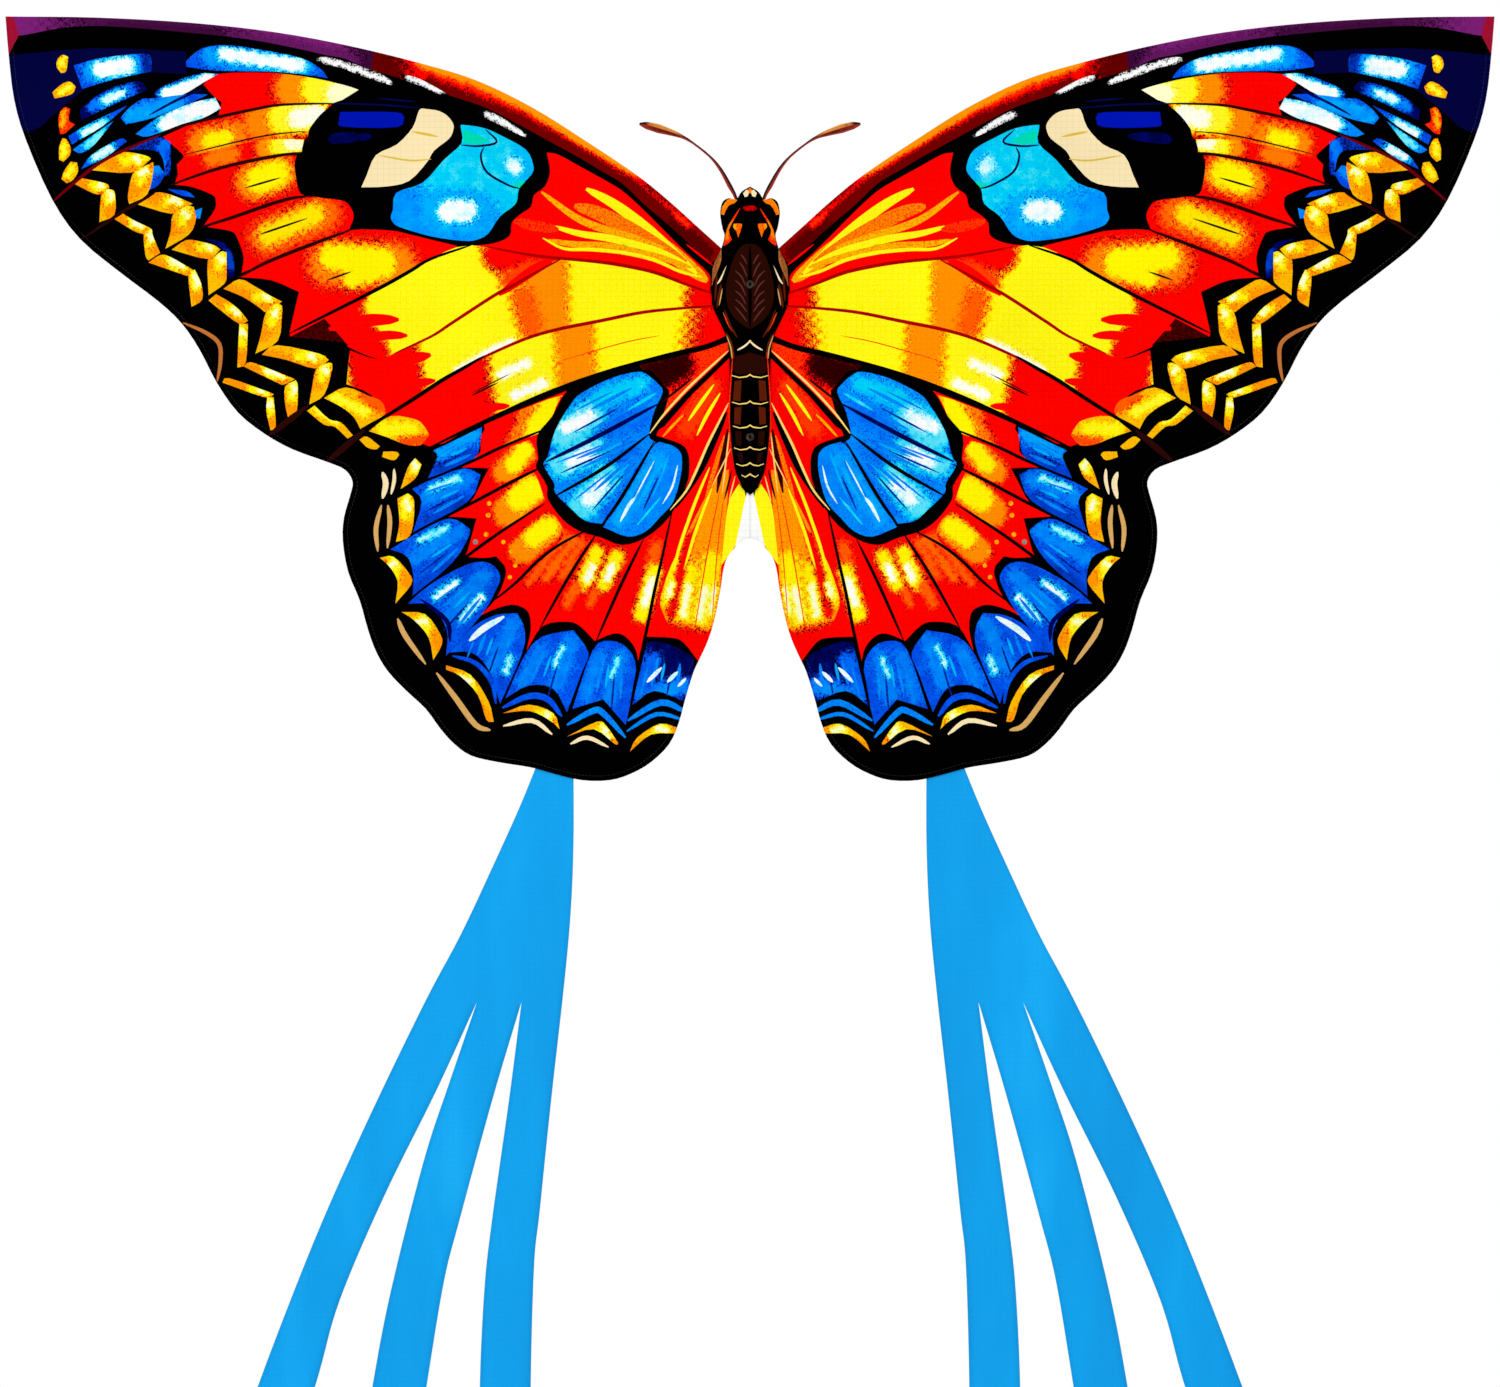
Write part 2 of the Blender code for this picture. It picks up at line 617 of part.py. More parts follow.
def tail_piece(side, word, wing):
    """A trunk that divides into three strips, cut from one piece of ribbon cloth."""
    edges = [smooth(e, 6) for e in TAIL_EDGES]
    bm = bmesh.new()
    heights = [TAIL_TOP + (TAIL_BOTTOM - TAIL_TOP) * i / TAIL_ROWS for i in range(TAIL_ROWS + 1)]
    heights = sorted(heights + [TAIL_SLIT_TOP], reverse=True)
    for strip in range(3):
        grid = []
        for z in heights:
            x0, x1 = strip_sides(edges, strip, z)
            y = tail_depth(z, strip)
            grid.append([bm.verts.new((x * side, y, z)) for x in (x0, x1)])
        for upper, lower in zip(grid, grid[1:]):
            bm.faces.new((upper[0], upper[1], lower[1], lower[0]))
    bmesh.ops.remove_doubles(bm, verts=bm.verts[:], dist=1e-5)
    tail = from_bmesh("tail_" + word, bm, "tail_ribbon")
    cloth = tail.modifiers.new("cloth", "SOLIDIFY")
    cloth.thickness = TAIL_T
    cloth.offset = 0
    joint_empty(f"tail_{word}_swing", (0, TAIL_Y, TAIL_TOP), [tail], parent=wing)


def main():
    clear_scene()
    spine_pieces()
    centre_fitting()
    body_pieces()
    cross_spar_pieces()
    for side, word in ((-1, "left"), (1, "right")):
        antenna_pieces(side, word)
        wing = wing_pieces(side, word)
        tail_piece(side, word, wing)


main()
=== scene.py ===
"""The look of the butterfly kite: printed sails, body, streamers, sewn details and materials.

Lists of outline points are in millimetres for the right half of the kite (x to the outside, z up),
from the crossing of the spine and the cross spar. The left half is their mirror image.
"""

import json
import math

import bmesh
import bpy
import numpy as np
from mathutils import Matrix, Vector
from mathutils.geometry import delaunay_2d_cdt


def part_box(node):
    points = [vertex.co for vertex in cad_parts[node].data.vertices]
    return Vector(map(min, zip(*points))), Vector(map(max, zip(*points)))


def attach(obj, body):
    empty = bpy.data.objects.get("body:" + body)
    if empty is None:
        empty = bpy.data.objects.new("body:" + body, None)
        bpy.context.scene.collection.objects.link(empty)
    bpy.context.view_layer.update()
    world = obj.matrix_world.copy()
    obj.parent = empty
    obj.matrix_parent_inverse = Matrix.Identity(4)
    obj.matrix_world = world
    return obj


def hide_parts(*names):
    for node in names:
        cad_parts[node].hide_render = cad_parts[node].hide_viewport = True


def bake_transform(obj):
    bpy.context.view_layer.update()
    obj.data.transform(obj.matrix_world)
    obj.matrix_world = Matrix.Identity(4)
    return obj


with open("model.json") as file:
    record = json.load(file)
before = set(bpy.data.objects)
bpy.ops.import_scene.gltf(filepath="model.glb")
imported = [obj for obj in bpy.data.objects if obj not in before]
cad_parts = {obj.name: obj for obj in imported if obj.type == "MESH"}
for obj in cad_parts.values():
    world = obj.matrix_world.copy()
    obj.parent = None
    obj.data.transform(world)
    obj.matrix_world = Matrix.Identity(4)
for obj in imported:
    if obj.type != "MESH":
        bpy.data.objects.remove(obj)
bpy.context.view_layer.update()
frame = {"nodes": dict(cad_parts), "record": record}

MM = 0.001
BACK = Vector((0, 1, 0))    # the way from the kite's front to its back

CLOTH = 0.0005              # thickness the sails and streamers are shown with
LINING = 0.0004             # thickness of the black cloth round the rods
SAIL_MID = 0.0005           # middle of the sail cloth behind the body
HEM = 0.0003                # thickness of the turned hem
HEM_START = 48              # x where it starts beside the fold, in millimetres
PANEL = 0.0012              # thickness of the stiff body panel
PANEL_FRONT = -0.00195      # where its front face is, away from its rounded rim
PANEL_CROWN = 0.0006        # how far back its rim falls
PANEL_RIM = 1.8             # width of that rim, in millimetres
PATCH_FRONT = 0.0013        # where a patch starts, just behind the sail
PATCH_THICKNESS = 0.0008
PATCH_SEAM = 1.8            # how far inside a patch's edge it is sewn, in millimetres

SPAR_Y = 0.0056             # axis of the leading-edge spars and hindwing struts
SPAR_INSET = 5.5            # how far inside the leading edge its spar runs, in millimetres
SLEEVE_ENDS = (50, 684)     # where its sleeve starts and ends along x, in millimetres
STRUT_INNER = (0.052, -0.046)   # x and z of the two ends of a hindwing's strut
STRUT_OUTER = (0.166, -0.396)
SPINE_Y = 0.0061            # axis of the spine
SPINE_RADIUS = 0.0035       # inside the cloth loops round it
SPINE_LOOPS = (("upper", 0.0310, 0.0640), ("middle", -0.1110, -0.0195), ("lower", -0.1880, -0.1280))
NOSE_POCKET = (0.0705, 0.1003)

TAIL_TOP = -0.419
TAIL_BOTTOM = -1.335
TAIL_MID = 0.0018           # where the tail's cloth is sewn on
TAIL_WAVE = 0.013           # height of its ripples at the bottom
TAIL_RIPPLES = 2.1          # how many there are down its length
TAIL_DRIFT = 0.030          # how far back it trails
SLIT_TOP = -0.651           # where it divides into strips
STRIP_LAG = 0.16            # ripples per metre that each strip gains on the strip outside it

EYELETS = (24, -119.5)      # heights of the two bridle eyelets, in millimetres
EYELET_HOLE = 2.8           # their radius, in millimetres
CLIP = (478, 20)            # where the spar clip's round patch is, and its radius, in millimetres

# ---- outlines of the kite ------------------------------------------------------------------------
# The wing's edge is its leading edge, then its margin from the tip round to the notch at the middle.
LEADING_EDGE = [
    (28, 59), (48, 77), (78, 104), (108, 128), (156, 160), (204, 190), (255, 215), (306, 231),
    (375, 248), (445, 261), (525, 270), (615, 275), (700, 276),
]
WING_MARGIN = [
    (700, 276), (697, 240), (692, 198), (681, 160), (656, 104), (630, 67), (593, 36), (556, 8),
    (534, -13), (517, -38), (501, -69), (482, -96), (457, -116), (430, -131), (397, -143),
    (381, -150), (374, -161), (376, -173), (382, -195), (383, -217), (378, -246), (367, -273),
    (359, -301), (351, -322), (340, -340), (323, -358), (305, -375), (291, -394), (278, -408),
    (262, -419), (237, -425), (206, -430), (184, -436), (158, -442), (132, -442), (112, -436),
    (93, -425), (76, -408), (67, -388), (61, -366), (53, -340), (46, -325), (39, -309),
    (33, -289), (28, -264), (25, -244), (21, -232), (14, -223),
]
NOTCH = [(14, -223), (10, -218.4), (5, -215.5), (0, -214.5)]
BODY = [
    (0, 116), (8, 111), (13, 104), (20, 105), (26, 101), (28, 90), (26, 77), (24, 69), (28, 55),
    (34, 43), (37, 26), (35, 7), (29, -8), (23, -22), (20, -38), (19, -63), (20, -87), (20, -111),
    (18, -130), (15, -147), (11, -161), (7, -168), (0, -174),
]

# The tail's edges from the outer one inwards: a slit has two sides that start at one point.
TAIL_EDGES = [
    [(197, -419), (217, -468), (241, -521), (272, -587), (306, -651), (361, -765), (411, -877),
     (464, -1012), (500, -1120), (530, -1230), (552, -1335)],
    [(257, -651), (295, -734), (345, -835), (388, -935), (410, -1012), (446, -1120), (476, -1230),
     (498, -1335)],
    [(257, -651), (284, -730), (307, -800), (339, -924), (356, -1012), (372, -1120), (383, -1230),
     (390, -1335)],
    [(215, -651), (241, -738), (273, -854), (289, -916), (305, -1012), (321, -1120), (333, -1230),
     (340, -1335)],
    [(215, -651), (227, -745), (244, -862), (251, -924), (255, -1012), (254, -1120), (249, -1230),
     (242, -1335)],
    [(166, -419), (166, -501), (169, -571), (176, -645), (186, -734), (198, -846), (204, -901),
     (207, -1012), (205, -1120), (200, -1230), (193, -1335)],
]

# Patches and pockets at the back. A strut's patch is (along the strut, across it) from its middle.
STRUT_PATCH = [(-19, -10), (-10, -13), (19, -9), (19, 9), (-10, 13), (-19, 10)]
WING_TIP_PATCH = [(686, 264), (690, 232), (680, 224), (660, 240), (628, 262)]
NOSE_PATCH = [(0, 110), (9, 104), (20, 99), (24, 90), (22, 78), (20, 73)]

# The right antenna's foot and the next point up its stem.
ANTENNA_FOOT = [(8.6, 84), (13, 105)]

# ---- the print -----------------------------------------------------------------------------------
# A paint is (ramp, tone, grain) or a flat colour. A tone runs up its ramp from dark to white, and
# grain is how strongly the sprayed speckle shows in it. The mono ramp is grey.
WARM_RAMP = [
    (0.0, "1c0000"), (0.15, "780000"), (0.28, "ff0000"), (0.34, "ff0800"), (0.46, "ff4000"),
    (0.60, "ff9000"), (0.72, "ffc000"), (0.83, "fff600"), (0.92, "ffff60"), (1.0, "ffffff"),
]
COOL_RAMP = [
    (0.0, "000008"), (0.14, "00086a"), (0.34, "0050ee"), (0.54, "0098ff"), (0.74, "00d4f4"),
    (0.88, "80f0ff"), (1.0, "ffffff"),
]
PAINTS = {
    "maroon": ("warm", 0.06, 0.10), "dark": ("warm", 0.13, 0.10), "vein": ("warm", 0.19, 0.02),
    "red": ("warm", 0.31, 0.03), "ember": ("warm", 0.43, 0.12), "orange": ("warm", 0.58, 0.12),
    "apricot": ("warm", 0.63, 0.06), "amber": ("warm", 0.70, 0.12), "gilt": ("warm", 0.72, 0.06),
    "yellow": ("warm", 0.84, 0.02), "navy": ("cool", 0.12, 0.06), "deep": ("cool", 0.22, 0.10),
    "blue": ("cool", 0.35, 0.06), "azure": ("cool", 0.50, 0.08), "sky": ("cool", 0.62, 0.05),
    "cyan": ("cool", 0.74, 0.05), "ice": ("cool", 0.98, 0.05), "glint": ("mono", 0.22, 0.50),
    "black": "010101", "soot": "2a0808", "segment": "280a04", "brown": "5a1c08", "rose": "5c2c28",
    "wine": "6b0010", "cherry": "a01030", "plum": "7b1f74", "copper": "c07034", "tan": "d8a860",
    "sand": "e0c040", "straw": "ffd870", "cream": "fbe6b4", "chalk": "fcfcfa", "grey": "8a8a80",
    "jade": "00dcb4", "night": "0014b0", "dim": "000a50", "ocean": "04043c",
}

# Areas of the print: paint, outline, and the soft light and shade inside it. A light is its tone,
# the radius of its core, the width of its soft edge, and the line it lies along.
FOREWING = [
    ("red", [(38, 33), (60, 54), (80, 74), (100, 94), (120, 112), (140, 124), (160, 135), (180, 146),
             (191, 148), (188, 130), (193, 116), (203, 108), (206, 97), (216, 90), (224, 82),
             (226, 70), (240, 63), (262, 60), (230, 56), (200, 50), (140, 44), (100, 37), (60, 23),
             (38, 17)], []),
    ("red", [(275, 60), (300, 66), (320, 71), (340, 75), (378, 75), (410, 62), (454, 45), (480, 31),
             (450, 28), (424, 17), (428, 0), (433, -22), (401, -6), (370, 9), (342, 24), (318, 37),
             (300, 48)],
     [(0.58, 15, 12, [(335, 42), (394, 44)]), (0.83, 9, 7, [(346, 46), (392, 50)]),
      (0.83, 6, 7, [(344, 40), (374, 30)])]),
    ("yellow", [(178, 48), (200, 50), (262, 61), (300, 48), (342, 24), (370, 9), (401, -6),
                (433, -22), (432, -25), (385, -30), (378, -33), (377, -35), (350, -46), (335, -41),
                (300, -25), (280, -12), (260, 1), (240, 14), (221, 24)],
     [(0.31, 13, 8, [(186, 54), (232, 54)]), (0.46, 5, 8, [(204, 38), (224, 28)]),
      (0.31, 24, 6, [(384, 34), (396, -4), (368, -44)]), (0.31, 26, 8, [(430, 10), (420, -34)])]),
    ("yellow", [(36, 18), (60, 23), (100, 37), (140, 44), (178, 48), (202, 35), (240, 14), (280, -12),
                (335, -41), (352, -46), (376, -38), (377, -45), (379, -70), (356, -80), (344, -100),
                (317, -84), (290, -66), (267, -53), (250, -44), (211, -27), (180, -18), (140, -10),
                (100, -2), (60, 2), (36, 4)],
     [(0.31, 13, 11, [(36, 22), (40, 0)]), (0.60, 13, 9, [(192, 56), (190, -30)]),
      (0.50, 3, 10, [(214, 12), (206, -16)]), (0.31, 28, 7, [(350, -20), (342, -60), (336, -110)]),
      (1.0, 3, 4, [(224, -31), (250, -43), (274, -58)])]),
    ("yellow", [(36, 4), (60, 2), (100, -2), (140, -10), (180, -18), (211, -27), (250, -44),
                (267, -53), (290, -66), (317, -84), (344, -100), (302, -128), (257, -108),
                (200, -82), (140, -60), (80, -43), (40, -33), (22, -25)],
     [(0.31, 9, 20, [(26, 4), (34, -32)]), (0.60, 11, 9, [(166, -8), (162, -76)]),
      (0.31, 30, 9, [(284, -50), (272, -130)]), (0.31, 20, 9, [(325, -80), (310, -125)]),
      (1.0, 2.5, 5, [(210, -50), (234, -61)]), (1.0, 2.5, 5, [(194, -69), (221, -80)])]),
    ("maroon", [(400, -8), (432, -25), (385, -30), (378, -33)], []),
    ("red", [(368, 207), (380, 211), (410, 218), (450, 223), (500, 222), (514, 212), (503, 200),
             (497, 196), (500, 185), (497, 183), (467, 189), (440, 193), (393, 194)],
     [(0.60, 14, 10, [(420, 206), (428, 208)]), (0.85, 14, 8, [(392, 205), (404, 208)]),
      (0.97, 8, 7, [(370, 206), (388, 203)])]),
    ("red", [(393, 193), (405, 182), (414, 170), (419, 160), (450, 159), (482, 153), (534, 142),
             (534, 147), (552, 163), (522, 177), (497, 183), (440, 193)],
     [(0.58, 14, 10, [(440, 180), (458, 178)]), (0.85, 12, 7, [(414, 182), (438, 180)]),
      (0.99, 7, 6, [(404, 184), (424, 180)]), (0.58, 11, 8, [(488, 164), (514, 158)]),
      (0.83, 5, 6, [(494, 163), (508, 160)])]),
    ("red", [(419, 160), (421, 152), (424, 147), (450, 144), (497, 134), (541, 119), (538, 128),
             (534, 142), (482, 156), (450, 161)],
     [(0.60, 9, 8, [(430, 156), (452, 153)]), (0.85, 7, 6, [(428, 156), (442, 154)]),
      (0.98, 4, 5, [(424, 157), (432, 156)]), (0.55, 6, 6, [(488, 147), (506, 143)])]),
    ("red", [(426, 145), (428, 135), (424, 112), (418, 107), (437, 103), (485, 87), (513, 80),
             (503, 94), (502, 102), (505, 108), (525, 116), (541, 118), (497, 134), (450, 144)],
     [(0.58, 14, 8, [(444, 128), (466, 120)]), (0.83, 10, 7, [(446, 128), (460, 122)])]),
    ("red", [(418, 106), (400, 105), (388, 104), (379, 101), (373, 90), (376, 79), (382, 74),
             (430, 55), (478, 35), (476, 50), (482, 68), (488, 74), (510, 78), (460, 96)],
     [(0.52, 12, 10, [(402, 90), (454, 68)]), (0.80, 6, 8, [(410, 90), (452, 70)])]),
    ("cyan", [(204, 137), (211, 151), (234, 164), (250, 171), (269, 174), (272, 172), (271, 157),
              (288, 141), (308, 120), (333, 111), (336, 95), (338, 88), (336, 83), (329, 78),
              (299, 69), (270, 65), (257, 66), (246, 72), (235, 88), (220, 100), (217, 114),
              (205, 128)],
     [(0.53, 10, 24, [(262, 74), (312, 74), (330, 96)]), (0.66, 4, 8, [(206, 130), (212, 148)]),
      (0.60, 15, 8, [(262, 90), (290, 92)]), (1.0, 8, 6, [(267, 93), (283, 93)]),
      (0.97, 4, 6, [(221, 135), (222, 136)])]),
    ("jade", [(244, 158), (256, 165), (270, 170), (269, 157), (256, 156)], []),
    ("jade", [(211, 121), (216, 120), (224, 117), (217, 115)], []),
    ("cream", [(279, 169), (279, 175), (284, 182), (292, 187), (304, 189), (311, 188), (317, 172),
               (332, 156), (352, 146), (361, 127), (366, 116), (342, 117), (321, 122), (304, 139),
               (297, 150), (283, 161)], []),
    ("night", [(325, 181), (333, 186), (385, 186), (386, 178), (382, 172), (332, 172)], []),
    ("navy", [(355, 164), (365, 167), (390, 166), (397, 160), (390, 156), (360, 160)],
     [(0.08, 4, 4, [(360, 160), (392, 160)])]),
    ("blue", [(397, 218), (403, 226), (415, 234), (430, 239), (450, 243), (490, 249), (515, 246),
              (530, 234), (532, 229), (500, 225), (445, 224), (410, 220)],
     [(0.55, 7, 7, [(420, 229), (505, 238)]), (1.0, 4.5, 5, [(424, 230), (450, 234), (494, 241)])]),
    ("ocean", [(530, 243), (620, 246), (710, 238), (712, 180), (676, 168), (645, 192), (600, 222),
               (530, 222)], []),
    ("deep", [(500, 222), (520, 222), (550, 211), (560, 204), (558, 198), (535, 202), (514, 214)],
     [(1.0, 5, 4, [(508, 217), (530, 209), (548, 203)])]),
    ("blue", [(510, 203), (530, 203), (560, 199), (572, 198), (585, 188), (591, 180), (586, 174),
              (560, 181), (520, 198)], [(0.56, 5, 7, [(540, 195), (580, 182)])]),
    ("azure", [(498, 190), (503, 200), (525, 195), (555, 182), (577, 165), (565, 163), (535, 175),
               (515, 181)], [(1.0, 6, 7, [(506, 191), (530, 185), (548, 175)])]),
    ("blue", [(563, 224), (563, 236), (570, 241), (610, 237), (636, 230), (628, 208), (605, 215),
              (575, 222)],
     [(0.55, 9, 6, [(580, 231), (616, 226)]), (1.0, 6, 5, [(586, 230), (610, 226)]),
      (0.20, 2, 4, [(566, 225), (568, 238)])]),
    ("navy", [(567, 207), (575, 215), (605, 207), (630, 188), (628, 178), (600, 192)],
     [(0.45, 4, 5, [(584, 206), (616, 192)]), (0.97, 2.5, 4, [(590, 204), (606, 197)])]),
    ("blue", [(585, 192), (620, 175), (640, 163), (637, 155), (608, 172)],
     [(0.97, 3, 5, [(606, 174), (624, 166)])]),
    ("azure", [(598, 177), (615, 155), (628, 147), (636, 150), (612, 167)],
     [(0.85, 2, 5, [(606, 166), (622, 154)])]),
    ("blue", [(585, 158), (592, 160), (618, 145), (628, 132), (605, 143)],
     [(0.97, 3, 4, [(600, 151), (615, 143)])]),
    ("deep", [(545, 158), (560, 163), (584, 150), (560, 150), (552, 142), (550, 126), (545, 130)],
     [(0.42, 3, 5, [(550, 156), (556, 130)])]),
    ("azure", [(550, 128), (556, 136), (562, 135), (565, 113), (556, 118)],
     [(0.3, 2, 4, [(552, 124), (562, 116)])]),
    ("blue", [(522, 106), (530, 112), (548, 114), (535, 108)], []),
    ("azure", [(515, 96), (523, 93), (524, 87), (517, 86)], []),
    ("navy", [(485, 30), (485, 45), (488, 56), (496, 64), (512, 67), (500, 60), (493, 52),
              (491, 33)], [(0.26, 2, 3, [(487, 40), (490, 54)])]),
    ("amber", [(641, 238), (646, 240), (651, 236), (652, 229), (648, 223), (643, 225)],
     [(0.88, 1, 4, [(645, 236), (648, 230)])]),
    ("amber", [(634, 210), (640, 215), (648, 212), (656, 205), (654, 199), (638, 203)],
     [(0.88, 1, 4, [(640, 210), (648, 205)])]),
    ("ember", [(639, 189), (644, 191), (648, 187), (650, 178), (648, 165), (643, 166), (634, 174),
               (640, 178)], [(0.7, 1, 3, [(645, 186), (646, 172)])]),
    ("amber", [(642, 160), (646, 161), (649, 152), (649, 141), (645, 139), (639, 145), (638, 152)],
     [(0.86, 1.5, 4, [(644, 154), (645, 146)])]),
    ("amber", [(632, 138), (638, 139), (644, 131), (647, 123), (642, 119), (636, 122), (631, 130)],
     [(0.86, 1.5, 4, [(636, 133), (641, 126)])]),
]

# Bands along the leading edge. They run past the edge of the sail, which cuts them off.
EDGE_BANDS = [
    ("red", [(20, 62), (37, 43), (60, 65), (80, 83), (100, 100), (120, 119), (140, 131), (160, 143),
             (180, 154), (200, 165), (220, 176), (250, 191), (280, 201), (300, 208), (330, 218),
             (360, 227), (364, 262), (255, 228), (156, 176), (78, 120)],
     [(0.38, 6, 6, [(118, 134), (180, 166), (240, 198), (290, 215)]),
      (0.17, 12, 6, [(30, 52), (90, 106)]), (0.08, 2.5, 4, [(40, 54), (76, 86)]),
      (0.40, 1.5, 3, [(58, 80), (108, 120)]),
      (0.14, 4, 5, [(80, 88), (110, 114), (160, 146), (220, 179), (300, 211)]),
      (0.62, 9, 3, [(106, 136), (156, 165), (204, 195), (255, 220), (306, 237)]),
      (0.10, 14, 20, [(352, 222), (366, 250)])]),
    ("plum", [(356, 225), (380, 236), (400, 240), (426, 246), (474, 255), (540, 262), (606, 267),
              (640, 266), (660, 263), (680, 259), (688, 258), (700, 290), (540, 290), (352, 260)],
     [(0.22, 8, 22, [(350, 225), (354, 262)]),
      (0.62, 3, 8, [(376, 232), (420, 243), (480, 255), (560, 263)]),
      (0.36, 10, 50, [(540, 272), (600, 276)]), (0.25, 2, 4, [(500, 259), (600, 267)])]),
    ("cherry", [(696, 285), (705, 285), (697, 240), (692, 250), (688, 261)], []),
    ("glint", [(204, 160), (214, 168), (230, 179), (248, 188), (257, 186), (250, 181), (235, 174),
               (220, 166)], [(1.0, 1, 4, [(214, 166), (246, 184)])]),
    ("glint", [(281, 201), (286, 204), (300, 212), (315, 219), (329, 222), (325, 216), (310, 211),
               (295, 204)], [(1.0, 1, 4, [(290, 206), (320, 219)])]),
    ("glint", [(330, 210), (345, 221), (360, 227), (380, 234), (400, 238), (410, 236), (400, 231),
               (385, 228), (370, 222), (355, 217), (340, 212)],
     [(1.0, 1, 4, [(340, 215), (372, 227), (402, 236)])]),
]

# Pairs of gold arrowheads that point in from the margin.
CHEVRONS = [
    [(563, 142), (568, 145), (590, 148), (605, 140), (620, 131), (581, 129)],
    [(561, 139), (571, 134), (580, 128), (585, 108), (584, 100), (567, 109), (561, 130)],
    [(602, 115), (606, 119), (630, 124), (634, 118), (618, 110), (610, 109)],
    [(597, 109), (600, 113), (605, 113), (610, 107), (612, 83), (598, 90)],
    [(524, 100), (540, 107), (555, 111), (565, 108), (577, 100), (545, 91), (535, 96)],
    [(523, 97), (530, 98), (543, 90), (545, 75), (550, 58), (528, 71), (521, 85)],
    [(565, 78), (580, 85), (590, 91), (598, 86), (580, 75), (571, 72)],
    [(562, 70), (563, 76), (566, 78), (571, 73), (569, 52), (566, 47), (555, 54)],
    [(498, 57), (504, 61), (515, 64), (530, 66), (544, 57), (510, 48)],
    [(492, 54), (497, 55), (505, 49), (510, 45), (509, 14), (494, 25), (492, 35)],
    [(524, 38), (545, 50), (555, 52), (566, 45), (535, 34), (529, 32)],
    [(516, 25), (522, 38), (528, 33), (525, 3), (515, 10)],
    [(440, 8), (450, 13), (465, 22), (480, 29), (495, 20), (478, 13), (465, 5), (456, -2), (447, 3)],
    [(440, 4), (445, 6), (455, -2), (460, -24), (465, -41), (444, -29), (440, -5)],
    [(472, -10), (480, 0), (490, 8), (502, 15), (509, 9), (498, 0), (480, -13)],
    [(472, -13), (480, -13), (481, -30), (482, -54), (474, -49)],
    [(396, -47), (405, -41), (445, -33), (459, -42), (435, -47), (409, -55)],
    [(393, -50), (398, -50), (408, -56), (411, -70), (414, -89), (400, -80), (393, -57)],
    [(428, -65), (455, -54), (470, -49), (476, -53), (445, -68), (438, -70)],
    [(425, -72), (427, -66), (437, -72), (437, -88), (434, -102), (426, -96)],
    [(448, -79), (455, -76), (490, -64), (496, -68), (456, -82)],
    [(448, -82), (454, -82), (455, -95), (451, -113), (446, -109)],
]

